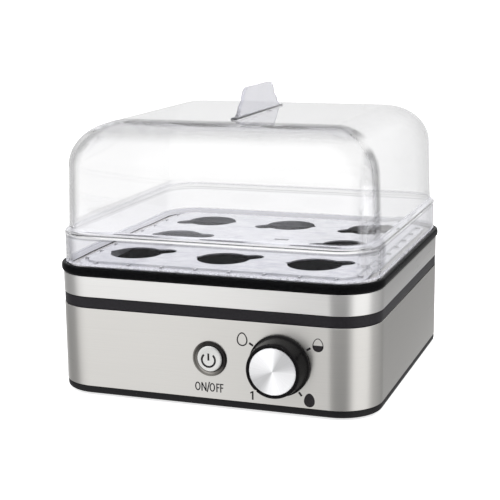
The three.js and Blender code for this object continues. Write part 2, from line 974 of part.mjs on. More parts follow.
function hood() {
  const outer = hoodRows(0).reverse();
  const inner = hoodRows(hood_wall);
  const shell = skinned([...outer, ...inner], false);
  const roof_z = ledge_z + seat + hood_height;
  const blade = new THREE.ExtrudeGeometry(gripOutline(), {
    depth: grip_thickness,
    bevelEnabled: false,
    curveSegments: corner_steps,
  }).translate(0, 0, -grip_thickness / 2);
  const stand = new THREE.Matrix4().makeBasis(
    new THREE.Vector3(0, 1, 0),
    new THREE.Vector3(0, 0, 1),
    new THREE.Vector3(1, 0, 0),
  );
  blade.applyMatrix4(stand);
  const sunk = hood_wall / 2;
  const foot = at(box(grip_foot_width, grip_base, grip_foot_height + sunk), 0, 0, roof_z - sunk);
  const steam_x = grip_foot_width / 2 + steam_hole_radius + slack;
  const vent = at(bore(steam_hole_radius, 4 * overrun), steam_x, steam_hole_y, roof_z - 2 * overrun);
  return cut(join(shell, at(blade, 0, 0, roof_z), foot), vent);
}

// Control carrier: an open moulding behind the front, resting on the pan's upstand
const carrier_half_width = 42;
const carrier_x = 24;
const carrier_wall = 1.8;
const carrier_depth = 9;
const carrier_headroom = 1.2;
const bush_radius = 4.3;
const carrier_front = front_y + sheet + seat;
const carrier_plate_front = carrier_front + carrier_depth - carrier_wall;
const carrier_back = carrier_front + carrier_depth;
const carrier_low = pan_z + upstand_height + seat;
const carrier_high = middle_z - tongue_length - carrier_headroom;
const stem_radius = 2.5;

function controlCarrier() {
  const width = 2 * carrier_half_width;
  const height = carrier_high - carrier_low;
  const middle_y = carrier_front + carrier_depth / 2;
  const block = at(box(width, carrier_depth, height), carrier_x, middle_y, carrier_low);
  const hollow_height = height - 2 * carrier_wall;
  const hollow = at(
    box(width - 2 * carrier_wall, carrier_depth, hollow_height),
    carrier_x,
    middle_y - carrier_wall,
    carrier_low + carrier_wall,
  );
  const rib_height = hollow_height + carrier_wall;
  const rib_x = (button_x + knob_x) / 2;
  const rib_depth = carrier_depth - 2 * carrier_wall;
  const rib = at(
    box(carrier_wall, rib_depth, rib_height),
    rib_x,
    carrier_back - rib_depth / 2 - carrier_wall / 2,
    carrier_low + carrier_wall / 2,
  );
  return cut(
    join(cut(block, hollow), rib),
    controlBore(stem_radius + slack, button_x),
    controlBore(bush_radius + seat, knob_x),
  );
}

function controlBore(radius, x) {
  const hole = facing(bore(radius, 2 * carrier_wall, post_sides));
  return at(hole, x, carrier_back + carrier_wall / 2, pan_z + control_height);
}

// Push button: bezel, cap with its stem, spring and switch
const bezel_radius = 10.5;
const bezel_proud = 1;
const bezel_round = 0.5;
const cap_proud = 0.9;
const cap_thickness = 1.8;
const cap_skirt = 2.6;
const cap_skirt_wall = 1;
const cap_round = 0.5;
const spring_radius = 4.6;
const spring_wire = 0.35;
const spring_turns = 4;
const wire_sides = 5;
const switch_size = 12;
const switch_depth = 8;
const stem_past = 0.6;
const well_depth = 3.2;

// Pieces of the front are turned about an axis that points out of the panel, zero at the steel
function onPanel(geometry, x) {
  return at(facing(geometry), x, front_y, pan_z + control_height);
}

function buttonBezel() {
  const mouth = button_radius + seat;
  const depth = carrier_plate_front - front_y - seat;
  const sleeve = Math.min(depth, cap_skirt + button_travel);
  return turned([
    [mouth, -sleeve],
    [bezel_sleeve_radius, -sleeve],
    [bezel_sleeve_radius, seat],
    [bezel_radius, seat],
    [bezel_radius, bezel_proud - bezel_round],
    [bezel_radius - bezel_round, bezel_proud],
    [mouth + bezel_round * 2, bezel_proud],
    [mouth, bezel_proud - bezel_round],
    [mouth, -sleeve],
  ], small_sides);
}

function buttonCap() {
  const back = cap_proud - cap_thickness;
  const end = front_y - carrier_plate_front - carrier_wall - stem_past;
  return turned([
    [0, cap_proud],
    [button_radius - cap_round, cap_proud],
    [button_radius, cap_proud - cap_round],
    [button_radius, -cap_skirt],
    [button_radius - cap_skirt_wall, -cap_skirt],
    [button_radius - cap_skirt_wall, back],
    [stem_radius, back],
    [stem_radius, end],
    [0, end],
  ], small_sides);
}

class Coil extends THREE.Curve {
  constructor(radius, turns, length) {
    super();
    Object.assign(this, { radius, turns, length });
  }
  getPoint(t, target = new THREE.Vector3()) {
    const angle = t * this.turns * 4 * right_angle;
    return target.set(this.radius * Math.cos(angle), this.radius * Math.sin(angle), t * this.length);
  }
}

function springSpan() {
  const top = cap_proud - cap_thickness - seat - spring_wire;
  const bottom = front_y - carrier_plate_front + seat + spring_wire;
  return [bottom, top];
}

function buttonSpring() {
  const [bottom, top] = springSpan();
  const coil = new Coil(spring_radius, spring_turns, top - bottom);
  const steps = spring_turns * hole_sides;
  return tubeAlong(coil, spring_wire, wire_sides, steps).translate(0, 0, bottom);
}

function pushSwitch() {
  const face = front_y - carrier_back - seat;
  const body = at(box(switch_size, switch_size, switch_depth), 0, 0, face - switch_depth);
  const well = at(bore(stem_radius + slack, well_depth + overrun, post_sides), 0, 0, face - well_depth);
  const legs = [-1, 1].map((side) =>
    at(
      box(terminal_thickness, terminal_width / 2, terminal_length),
      (side * switch_size) / 4,
      0,
      face - switch_depth - terminal_length + terminal_thickness,
    ),
  );
  return join(cut(body, well), ...legs);
}

// Knob, its metal face and the potentiometer that it turns
const knob_base_radius = 18.2;
const knob_face_radius = 15.7;
const knob_barrel_radius = 16.9;
const knob_flange = 2.4;
const knob_gap = 0.6;
const knob_wall = 2.4;
const knob_round = 0.9;
const face_radius = 13.8;
const face_thickness = 0.9;
const face_sunk = 0.2;
const boss_radius = 5.8;
const shaft_grip = 9;
const pointer_angle = 230.5;
const pointer_width = 1;
const pointer_depth = 0.6;
const pot_size = 17;
const pot_depth = 9;
const pot_pocket = 4;
const pot_nut_flats = 11;
const pot_nut_thickness = 2;
const bush_length = 5.4;

function knobBody() {
  const face = knob_reach;
  const pocket = face - face_sunk - face_thickness - seat;
  const roof = pocket - knob_wall;
  const profile = [
    [shaft_radius + seat, knob_gap + knob_round],
    [boss_radius, knob_gap + knob_round],
    [boss_radius, roof],
    [knob_face_radius - knob_wall, roof],
    [knob_base_radius - knob_wall, knob_gap],
    [knob_base_radius, knob_gap],
    [knob_base_radius, knob_gap + knob_flange - knob_round],
    [knob_base_radius - knob_round / 2, knob_gap + knob_flange],
    [knob_barrel_radius, knob_gap + knob_flange + knob_round],
    [knob_face_radius + knob_round / 3, face - knob_round],
    [knob_face_radius - knob_round / 2, face],
    [face_radius + seat, face],
    [face_radius + seat, pocket],
    [0, pocket],
    [0, knob_gap + knob_round + shaft_grip],
    [shaft_radius + seat, knob_gap + knob_round + shaft_grip],
    [shaft_radius + seat, knob_gap + knob_round],
  ];
  return cut(turned(profile), pointerGroove());
}

function pointerGroove() {
  const turn = (pointer_angle / half_turn) * Math.PI;
  const groove = at(
    box(2 * pointer_depth, pointer_width, 2 * knob_reach),
    knob_face_radius,
    0,
    knob_reach / 2,
  );
  return groove.rotateZ(turn);
}

function knobCap() {
  const back = knob_reach - face_sunk - face_thickness;
  return turned([
    [0, back],
    [face_radius, back],
    [face_radius, back + face_thickness * 0.7],
    [face_radius - face_thickness * 0.4, back + face_thickness],
    [0, back + face_thickness],
  ]);
}

function potentiometerShaft() {
  const start = front_y - carrier_back - seat - pot_pocket + seat;
  const end = knob_gap + knob_round + shaft_grip - seat;
  return at(post(shaft_radius, end - start), 0, 0, start);
}

function potentiometer() {
  const face = front_y - carrier_back - seat;
  const half = pot_size / 2;
  const body = at(post(half, pot_depth, small_sides), 0, 0, face - pot_depth);
  const legs = at(box(half, terminal_thickness, half + terminal_length), 0, 0, 0)
    .rotateX(right_angle)
    .translate(0, 0, face - pot_depth / 2);
  const bush = at(post(bush_radius, bush_length + pot_depth / 2), 0, 0, face - pot_depth / 2);
  const pocket = at(bore(shaft_radius + seat, 4 * pot_depth, post_sides), 0, 0, face - pot_pocket);
  return cut(join(body, legs, bush), pocket);
}

function potentiometerNut() {
  const back = front_y - carrier_plate_front + seat;
  return at(nut(pot_nut_flats, pot_nut_thickness, bush_radius + seat), 0, 0, back);
}

// Control board on the pan's posts, with its larger components
const board_thickness = 1.6;
const board_z = pan_z + pan_floor / 2 + board_post_height + seat;
const board_top = board_z + board_thickness;

function controlBoard() {
  const slab = at(box(board_width, board_depth, board_thickness), board_x, board_y, board_z);
  const holes = corners.map(([, side_x, side_y]) => {
    const [x, y] = boardPostPlace(side_x, side_y);
    return at(bore(shank_radius, 2 * overrun), x, y, board_z - overrun);
  });
  return cut(slab, ...holes);
}

const relay_size = [19, 15.5, 15.5];
const relay_share = [-0.2, 0.18];
const buzzer_radius = 6;
const buzzer_height = 9;
const buzzer_share = [0.25, -0.25];
const capacitor_size = [18, 8.5, 14.5];
const capacitor_share = [0.22, 0.2];
const terminal_block_size = [30, 10, 12];
const terminal_block_share = [-0.1, -0.3];
const terminal_block_ways = 3;
const wire_entry_radius = 1.6;

function boardPlace([share_x, share_y]) {
  return [board_x + share_x * board_width, board_y + share_y * board_depth, board_top + seat];
}

function buzzer() {
  const sound_hole = buzzer_radius / 5;
  return cut(
    post(buzzer_radius, buzzer_height),
    at(bore(sound_hole, buzzer_height), 0, 0, buzzer_height / 2),
  );
}

function terminalBlock() {
  const [width, depth, height] = terminal_block_size;
  const entries = [];
  for (let way = 0; way < terminal_block_ways; way++) {
    const x = ((way + 0.5) / terminal_block_ways - 0.5) * width;
    const entry = bore(wire_entry_radius, depth / 2 + overrun).rotateX(right_angle);
    entries.push(at(entry, x, 0, height / 3));
    entries.push(at(bore(wire_entry_radius, height), x, depth / 5, height * 0.6));
  }
  return cut(box(width, depth, height), ...entries);
}

function addBody() {
  add("base_pan", basePan(), black_plastic);
  add("lower_casing", lowerCasing(), steel);
  add("middle_trim_ring", middleRing(), black_plastic);
  add("upper_band", sheetBand(upper_z, upper_height), steel);
  add("upper_trim_ring", upperRing(), black_plastic);
  for (const [place, side_x, side_y] of corners) {
    add("foot_" + place, foot(), rubber).position.set(...footPlace(side_x, side_y), 0);
  }
  const gland = add("cord_grommet", grommet().rotateX(-right_angle), rubber);
  gland.position.set(cord_x, half_y - tongue_inner - seat, pan_z + cord_height);
}

function addScrews() {
  const ring_reach = ringPilotDepth() + flange_thickness;
  const base_reach = pan_boss_height + pilot_depth / 3;
  const base_z = pan_z + base_head_recess - base_head_height - seat;
  for (const [place, side_x, side_y] of corners) {
    const base = screw(base_head_radius, base_head_height, shank_radius, base_reach);
    const ring = screw(ring_boss_radius, ring_head_height, shank_radius, ring_reach);
    const base_node = add("base_screw_" + place, base, bright_steel);
    base_node.position.set(...baseScrewPlace(side_x, side_y), base_z);
    const ring_node = add("ring_screw_" + place, ring, bright_steel);
    ring_node.position.set(...ringScrewPlace(side_x, side_y), flange_z - seat - ring_head_height);
  }
}

function addHeater() {
  add("heating_bowl", heatingBowl(), coated);
  add("bowl_seal", bowlSeal(), silicone);
  add("diffuser_plate", diffuserPlate(), aluminium);
  add("heating_element", heatingElement(), bright_steel);
  add("thermostat", thermostat(), ceramic).position.set(0, 0, thermostat_z);
  add("thermal_fuse", thermalFuse(), ceramic).position.set(fuse_x, 0, plate_z - seat - fuse_radius);
  add("sensor_clip", sensorClip(), bright_steel).position.set(0, 0, clip_z);
  for (const [place, side] of [["left", -1], ["right", 1]]) {
    const clip_nut = nut(clip_nut_flats, clip_nut_thickness, clip_stud_radius + seat);
    const z = clip_z - seat - clip_nut_thickness;
    add("clip_nut_" + place, clip_nut, bright_steel).position.set(side * clip_stud_x, 0, z);
  }
  add("bowl_strap_front", strap(), bright_steel).position.set(0, -strap_y, strap_z);
  add("bowl_strap_rear", strap(), bright_steel).position.set(0, strap_y, strap_z);
  for (const [place, side_x, side_y] of corners) {
    const z = strap_z - seat - nut_thickness;
    const bowl_nut = nut(nut_flats, nut_thickness, stud_radius + seat);
    add("bowl_nut_" + place, bowl_nut, bright_steel).position.set(side_x * stud_x, side_y * strap_y, z);
  }
}

function addControls() {
  add("control_carrier", controlCarrier(), black_plastic);
  add("button_bezel", onPanel(buttonBezel(), button_x), dark_chrome);
  add("button_cap", onPanel(buttonCap(), button_x), spun_metal);
  add("button_spring", onPanel(buttonSpring(), button_x), bright_steel);
  add("push_switch", onPanel(pushSwitch(), button_x), black_plastic);
  add("knob_body", onPanel(knobBody(), knob_x), black_plastic);
  add("knob_cap", onPanel(knobCap(), knob_x), spun_metal);
  add("potentiometer_shaft", onPanel(potentiometerShaft(), knob_x), aluminium);
  add("potentiometer", onPanel(potentiometer(), knob_x), brown_plastic);
  add("potentiometer_nut", onPanel(potentiometerNut(), knob_x), bright_steel);
}

function addBoard() {
  add("control_board", controlBoard(), board_green);
  add("relay", box(...relay_size), black_plastic).position.set(...boardPlace(relay_share));
  add("buzzer", buzzer(), black_plastic).position.set(...boardPlace(buzzer_share));
  add("capacitor", box(...capacitor_size), brown_plastic).position.set(...boardPlace(capacitor_share));
  const block = add("terminal_block", terminalBlock(), ceramic);
  block.position.set(...boardPlace(terminal_block_share));
}

addBody();
addScrews();
addHeater();
addControls();
addBoard();
add("egg_tray", eggTray(), clear_plastic);
add("hood", hood(), clear_plastic);

// The origin is the middle of the whole part's footprint, on the surface that it stands on
const front_reach = half_y + knob_reach;
const rear_reach = half_y + Math.max(ring_proud, grommet_proud);
part.position.y = (front_reach - rear_reach) / 2;

export default part;
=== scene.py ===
"""Looks of the egg boiler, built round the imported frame.

Lengths are in millimetres and turn to metres when a mesh is made. Materials and lamps work in metres.
"""

import math

import bmesh
import bpy
from mathutils import Matrix, Vector


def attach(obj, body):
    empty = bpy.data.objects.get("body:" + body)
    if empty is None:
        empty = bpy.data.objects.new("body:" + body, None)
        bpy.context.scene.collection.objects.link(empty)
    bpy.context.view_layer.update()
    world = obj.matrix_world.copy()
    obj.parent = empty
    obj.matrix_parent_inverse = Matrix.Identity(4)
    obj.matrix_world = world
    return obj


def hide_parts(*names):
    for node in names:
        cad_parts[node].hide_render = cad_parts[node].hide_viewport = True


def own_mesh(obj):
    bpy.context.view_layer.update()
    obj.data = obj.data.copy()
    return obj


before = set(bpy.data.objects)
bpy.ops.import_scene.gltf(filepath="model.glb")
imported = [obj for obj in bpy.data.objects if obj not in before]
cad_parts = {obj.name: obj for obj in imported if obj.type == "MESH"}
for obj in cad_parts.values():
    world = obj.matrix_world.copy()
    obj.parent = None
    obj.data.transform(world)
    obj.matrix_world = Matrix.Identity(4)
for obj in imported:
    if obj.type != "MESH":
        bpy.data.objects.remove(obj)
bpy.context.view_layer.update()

MM = 0.001
HALF_X, HALF_Y, CENTRE_Y = 100.0, 98.5, 5.8
CORNER = 25.0
FRONT_Y = CENTRE_Y - HALF_Y
CONTROL_Z = 30.4
KNOB_X, BUTTON_X = 45.6, 2.8
CORD_X, CORD_Z, GLAND_Y = -60.0, 14.0, CENTRE_Y + HALF_Y - 2.9
FOOT_X, FOOT_Y = 80.0, 78.5
SCREW_X, SCREW_Y = 92.0, 35.0
CORNERS = [(-1, -1, "front_left"), (1, -1, "front_right"), (-1, 1, "rear_left"), (1, 1, "rear_right")]


# Mesh tools

ARC_STEPS, BEZIER_STEPS = 20, 8
SHARPEST = 0.3
SHORT_SPAN, SHORT_SHARE = 1.5, 0.2
HALF_EDGE = 0.49


def ring_row(inset, z, corner=None):
    """Points round the body's outline at an inset. Short spans beside each arc let the flats shade flat."""
    corner = max(CORNER - inset, SHARPEST) if corner is None else corner
    reach_x, reach_y = HALF_X - inset, HALF_Y - inset
    ease = min(SHORT_SPAN, SHORT_SHARE * min(reach_x - corner, reach_y - corner))
    row = []
    for quarter in range(4):
        side_x = 1 if quarter in (0, 3) else -1
        side_y = 1 if quarter < 2 else -1
        cx, cy = side_x * (reach_x - corner), side_y * (reach_y - corner)
        first, last = quarter * math.pi / 2, (quarter + 1) * math.pi / 2
        row.append((cx + corner * math.cos(first) + ease * math.sin(first),
                    cy + corner * math.sin(first) - ease * math.cos(first), z))
        for step in range(ARC_STEPS + 1):
            a = first + (last - first) * step / ARC_STEPS
            row.append((cx + corner * math.cos(a), cy + corner * math.sin(a), z))
        row.append((cx + corner * math.cos(last) - ease * math.sin(last),
                    cy + corner * math.sin(last) + ease * math.cos(last), z))
    return [(x, y + CENTRE_Y, z) for x, y, z in row]


def fillet(profile, closed=True, steps=4):
    """Rounds the corners of a profile of (a, b, radius) entries."""
    out = []
    count = len(profile)
    for i, (a, b, radius) in enumerate(profile):
        here = Vector((a, b))
        if radius <= 0 or (not closed and i in (0, count - 1)):
            out.append((a, b))
            continue
        before = Vector(profile[i - 1][:2]) - here
        after = Vector(profile[(i + 1) % count][:2]) - here
        angle = before.angle(after)
        cut = min(radius / math.tan(angle / 2), HALF_EDGE * before.length, HALF_EDGE * after.length)
        start, end = here + before.normalized() * cut, here + after.normalized() * cut
        for step in range(steps + 1):
            t = step / steps
            p = start.lerp(here, t).lerp(here.lerp(end, t), t)
            out.append((p.x, p.y))
    return out


def loft(rows, looped=False):
    """Vertices and faces through rows of equal length. A looped loft closes on its first row."""
    verts = [p for row in rows for p in row]
    faces = []
    n = len(rows[0])
    spans = len(rows) if looped else len(rows) - 1
    for r in range(spans):
        a, b = r * n, ((r + 1) % len(rows)) * n
        for i in range(n):
            j = (i + 1) % n
            faces.append((a + i, a + j, b + j, b + i))
    if not looped:
        faces.append(tuple(range(n))[::-1])
        faces.append(tuple((len(rows) - 1) * n + i for i in range(n)))
    return verts, faces


def frame_loft(profile):
    """A closed profile of (inset, z, radius) swept round the body."""
    return loft([ring_row(a, b) for a, b in fillet(profile)], looped=True)


def lathe(profile, sides=96, closed=False):
    """A profile of (radius, height) pairs turned about +Z. Points on the axis become one point."""
    verts, faces, rings = [], [], []
    for radius, height in profile:
        if radius < 1e-6:
            rings.append([len(verts)] * sides)
            verts.append((0, 0, height))
        else:
            rings.append(list(range(len(verts), len(verts) + sides)))
            for i in range(sides):
                a = 2 * math.pi * i / sides
                verts.append((radius * math.cos(a), radius * math.sin(a), height))
    pairs = list(zip(rings, rings[1:]))
    if closed:
        pairs.append((rings[-1], rings[0]))
    for low, high in pairs:
        for i in range(sides):
            j = (i + 1) % sides
            face = []
            for v in (low[i], low[j], high[j], high[i]):
                if v not in face:
                    face.append(v)
            if len(face) > 2:
                faces.append(tuple(face))
    return verts, faces


def block(x0, x1, y0, y1, z0, z1):
    verts = [(x, y, z) for z in (z0, z1) for y in (y0, y1) for x in (x0, x1)]
    return verts, [(0, 2, 3, 1), (4, 5, 7, 6), (0, 1, 5, 4), (2, 6, 7, 3), (0, 4, 6, 2), (1, 3, 7, 5)]


def prism(outline, z0, z1):
    """A closed outline of (x, y) points between two heights."""
    return loft([[(x, y, z0) for x, y in outline], [(x, y, z1) for x, y in outline]])


def circle(x, y, radius, sides=64):
    return [(x + radius * math.cos(2 * math.pi * i / sides), y + radius * math.sin(2 * math.pi * i / sides))
            for i in range(sides)]


def cylinder(x, y, radius, z0, z1, sides=64):
    return prism(circle(x, y, radius, sides), z0, z1)


def moved(shape, matrix):
    return [tuple(matrix @ Vector(v)) for v in shape[0]], shape[1]


def on_panel(shape, x):
    """Stands a shape made about +Z on the front panel, pointing out of it."""
    return moved(shape, Matrix.Translation((x, FRONT_Y, CONTROL_Z)) @ Matrix.Rotation(math.pi / 2, 4, "X"))


def merged(*shapes):
    verts, faces = [], []
    for v, f in shapes:
        base = len(verts)
        verts += list(v)
        faces += [tuple(i + base for i in face) for face in f]
    return verts, faces


def add_object(name, data):
    obj = bpy.data.objects.new(name, data)
    bpy.context.scene.collection.objects.link(obj)
    return obj


def make_mesh(name, shape):
    mesh = bpy.data.meshes.new(name)
    mesh.from_pydata([Vector(v) * MM for v in shape[0]], [], shape[1])
    mend(mesh)
    return add_object(name, mesh)


def mend(mesh):
    """Makes the faces of a closed mesh point outwards."""
    bm = bmesh.new()
    bm.from_mesh(mesh)
    bmesh.ops.remove_doubles(bm, verts=bm.verts, dist=1e-7)
    bmesh.ops.recalc_face_normals(bm, faces=bm.faces)
    bm.to_mesh(mesh)
    bm.free()


def bake_modifiers(obj):
    graph = bpy.context.evaluated_depsgraph_get()
    mesh = bpy.data.meshes.new_from_object(obj.evaluated_get(graph))
    obj.modifiers.clear()
    obj.data = mesh


def combine(obj, shape, operation):
    """Joins a shape to an object or cuts it out of it."""
    tool = make_mesh("tool", shape)
    step = obj.modifiers.new("combine", "BOOLEAN")
    step.operation = operation
    step.object = tool
    step.solver = "EXACT"
    bake_modifiers(obj)
    bpy.data.objects.remove(tool)


def dress(obj, material, angle=32.0):
    """Gives a piece its material. Edges sharper than the angle stay sharp."""
    obj.data.materials.clear()
    obj.data.materials.append(material)
    obj.data.shade_smooth()
    obj.data.set_sharp_from_angle(angle=math.radians(angle))


def piece(name, shape, body, material, replaces=(), joins=(), cuts=(), angle=32.0):
    obj = make_mesh(name, shape)
    for extra in joins:
        combine(obj, extra, "UNION")
    for extra in cuts:
        combine(obj, extra, "DIFFERENCE")
    dress(obj, material, angle)
    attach(obj, body)
    if replaces:
        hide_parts(*replaces)


# Materials

WHITE, BLACK = (1.0, 1.0, 1.0, 1), (0.0, 0.0, 0.0, 1)
NOISE_MIDDLE = (0.3, 0.7)
MIX_A, MIX_B, MIX_RESULT = 6, 7, 2


class Nodes:
    """A short way to write the node tree of a material or a world."""

    def __init__(self, name, kind="Material"):
        owners = bpy.data.worlds if kind == "World" else bpy.data.materials
        self.owner = owners.new(name)
        self.owner.use_nodes = True
        self.tree = self.owner.node_tree
        self.tree.nodes.clear()
        self.out = self.new("ShaderNodeOutput" + kind)

    def new(self, kind, inputs=None, **settings):
        node = self.tree.nodes.new(kind)
        for key, value in settings.items():
            setattr(node, key, value)
        for key, value in (inputs or {}).items():
            self.put(node.inputs[key], value)
        return node

    def put(self, socket, value):
        if isinstance(value, bpy.types.NodeSocket):
            self.tree.links.new(value, socket)
        elif isinstance(value, bpy.types.Node):
            self.tree.links.new(value.outputs[0], socket)
        else:
            socket.default_value = value

    def math(self, operation, a, b=0.0):
        return self.new("ShaderNodeMath", {0: a, 1: b}, operation=operation).outputs[0]

    def in_turn(self, operation, values):
        """Two or more values taken together, from the first to the last."""
        result = values[0]
        for value in values[1:]:
            result = self.math(operation, result, value)
        return result

    def product(self, *values):
        return self.in_turn("MULTIPLY", values)

    def total(self, *values):
        return self.in_turn("ADD", values)

    def most(self, *values):
        return self.in_turn("MAXIMUM", values)

    def minus(self, *values):
        return self.in_turn("SUBTRACT", values)

    def place(self, scale=(1, 1, 1), offset=(0, 0, 0)):
        """Object coordinates in metres, scaled along each axis."""
        where = self.new("ShaderNodeTexCoord").outputs["Object"]
        inputs = {"Vector": where, "Scale": scale, "Location": offset}
        return self.new("ShaderNodeMapping", inputs).outputs[0]

    def axes(self, where=None):
        """X, Y and Z of a vector, or else of the place on the object, in metres."""
        if where is None:
            where = self.new("ShaderNodeTexCoord").outputs["Object"]
        parts = self.new("ShaderNodeSeparateXYZ", {0: where})
        return parts.outputs["X"], parts.outputs["Y"], parts.outputs["Z"]

    def noise(self, scale, stretch=(1, 1, 1), detail=4.0, roughness=0.5):
        inputs = {"Vector": self.place(stretch), "Scale": scale, "Detail": detail, "Roughness": roughness}
        return self.new("ShaderNodeTexNoise", inputs).outputs["Fac"]

    def line_noise(self, value, scale):
        """Noise along a single value."""
        inputs = {"W": value, "Scale": scale, "Detail": 2.0}
        return self.new("ShaderNodeTexNoise", inputs, noise_dimensions="1D").outputs["Fac"]

    def ramp(self, value, *stops):
        node = self.new("ShaderNodeValToRGB", {"Fac": value})
        marks = node.color_ramp.elements
        while len(marks) < len(stops):
            marks.new(0.5)
        for mark, (place, colour) in zip(marks, stops):
            mark.position = place
            mark.color = (*colour, 1) if isinstance(colour, tuple) else (colour, colour, colour, 1)
        return node.outputs["Color"]

    def span(self, value, low, high, from_low=0.0, from_high=1.0, smooth=False):
        """Low at from_low and before, high at from_high and after."""
        kind = "SMOOTHSTEP" if smooth else "LINEAR"
        inputs = {"Value": value, "To Min": low, "To Max": high, "From Min": from_low,
                  "From Max": from_high}
        return self.new("ShaderNodeMapRange", inputs, interpolation_type=kind).outputs[0]

    def rise(self, value, start, end, smooth=False):
        return self.span(value, 0.0, 1.0, start, end, smooth)

    def fall(self, value, start, end, smooth=False):
        return self.span(value, 1.0, 0.0, start, end, smooth)

    def spread(self, noise, low, high):
        """A noise spread between two values. Most of it lies near its middle."""
        return self.span(noise, low, high, *NOISE_MIDDLE)

    def band(self, value, start, full, fade, end):
        """1 from full to fade, and 0 below start and above end."""
        return self.product(self.rise(value, start, full), self.fall(value, fade, end))

    def mix(self, factor, a, b, blend="MIX"):
        node = self.new("ShaderNodeMix", data_type="RGBA", blend_type=blend)
        self.put(node.inputs["Factor"], factor)
        self.put(node.inputs[MIX_A], a)
        self.put(node.inputs[MIX_B], b)
        return node.outputs[MIX_RESULT]

    def bump(self, height, strength, distance):
        inputs = {"Height": height, "Strength": strength, "Distance": distance}
        return self.new("ShaderNodeBump", inputs).outputs[0]

    def blend(self, factor, a, b):
        """One shader at factor 0 and another at factor 1."""
        return self.new("ShaderNodeMixShader", {0: factor, 1: a, 2: b})

    def glowing(self, shader, strength):
        """A shader with white light of its own added."""
        glow = self.new("ShaderNodeEmission", {"Color": WHITE, "Strength": strength})
        return self.new("ShaderNodeAddShader", {0: shader, 1: glow})

    def surface(self, shader):
        self.put(self.out.inputs["Surface"], shader)
        return self.owner

    def lamplit(self, shader, colour):
        """A clear surface that light from lamps and from lit pieces passes straight."""
        through = self.new("ShaderNodeBsdfTransparent", {"Color": colour})
        rays = self.new("ShaderNodeLightPath").outputs
        soft = self.blend(rays["Is Diffuse Ray"], shader, through)
        return self.surface(self.blend(rays["Is Shadow Ray"], soft, through))

    def principled(self, **inputs):
        named = {key.replace("_", " ").title().replace("Ior", "IOR"): inputs[key] for key in inputs}
        return self.new("ShaderNodeBsdfPrincipled", named)


def rgb(*values):
    """sRGB from 0 to 255 as linear with alpha."""
    def linear(v):
        v /= 255
        return v / 12.92 if v <= 0.04045 else ((v + 0.055) / 1.055) ** 2.4
    return (*[linear(v) for v in values], 1.0)


def times(colour, share, lift=0.0):
    return (*[min(1.0, c * share + lift) for c in colour[:3]], 1)


def brushed_steel(name, tint, low):
    """Steel brushed in level lines. The lines spread its gloss upwards and downwards."""
    n = Nodes(name)
    fine = n.noise(1.0, (22, 22, 7000), 3.0, 0.6)
    broad = n.noise(1.0, (9, 9, 1500), 2.0, 0.5)
    stain = n.noise(14.0, detail=2.0)
    lines = n.total(n.product(fine, 0.75), n.product(broad, 0.25))
    colour = n.mix(n.spread(lines, 0.0, 1.0), times(tint, 0.93), tint)
    level = n.span(n.axes()[2], low, 1.0, 0.006, 0.060)
    bsdf = n.principled(base_color=n.mix(level, BLACK, colour), metallic=1.0,
                        roughness=n.total(n.spread(lines, 0.28, 0.34), n.spread(stain, -0.02, 0.02)),
                        anisotropic=0.75, anisotropic_rotation=0.25,
                        tangent=n.new("ShaderNodeTangent", direction_type="RADIAL", axis="Z"),
                        normal=n.bump(lines, 0.12, 0.00002))
    return n.surface(bsdf)


def plastic(name, colour, roughness, grain=900.0, relief=0.05, gloss=0.5):
    """Moulded plastic with a fine uneven gloss."""
    n = Nodes(name)
    speckle = n.noise(grain, detail=3.0)
    cloud = n.noise(25.0, detail=2.0)
    base = n.mix(n.span(speckle, 0.0, 1.0, 0.35, 0.65), colour, times(colour, 1.25, 0.002))
    rough = n.total(n.spread(speckle, roughness - 0.03, roughness + 0.04), n.spread(cloud, -0.03, 0.03))
    bsdf = n.principled(base_color=base, roughness=rough, specular_ior_level=gloss,
                        normal=n.bump(speckle, relief, 0.0001))
    return n.surface(bsdf)


def metal(name, colour, roughness, scale, relief, stretch=(1, 1, 1)):
    """Plain metal with a grain in its gloss."""
    n = Nodes(name)
    grain = n.noise(scale, stretch, 3.0)
    cloud = n.noise(40.0, detail=2.0)
    base = n.mix(n.span(cloud, 0.0, 1.0, 0.35, 0.65), times(colour, 0.8), colour)
    rough = n.spread(grain, roughness - 0.05, roughness + 0.08)
    bsdf = n.principled(base_color=base, metallic=1.0, roughness=rough,
                        normal=n.bump(grain, relief, 0.00008))
    return n.surface(bsdf)


# Heights on the hood, in metres: where a change starts and is complete, and for a band where it ends again

LEDGE = (0.0808, 0.0813)
SKIRT_TOP = (0.096, 0.097)
SHOULDER_TOP = (0.1035, 0.1045)
GRIP_FOOT = (0.1640, 0.1648)
LOW_FOLD = (0.0952, 0.0955, 0.0961, 0.0964)
HIGH_FOLD = (0.0979, 0.0982, 0.0987, 0.0990)
STEP = (0.0990, 0.0994, 0.1006, 0.1014)
RIM_ARC_X, RIM_ARC_Z = 0.0663, 0.1355
HOOD_IOR, TRAY_IOR = 1.30, 1.49


def hood_rear(n, x, y, z):
    """The rear and the left side of the hood, fading out in the middle of its walls."""
    slant = n.total(y, n.product(x, -0.5))
    left = n.product(n.fall(x, -0.0965, -0.090), n.rise(y, -0.085, -0.06))
    return n.product(n.most(n.rise(slant, 0.03, 0.09, smooth=True), left), n.fall(z, 0.125, 0.145))


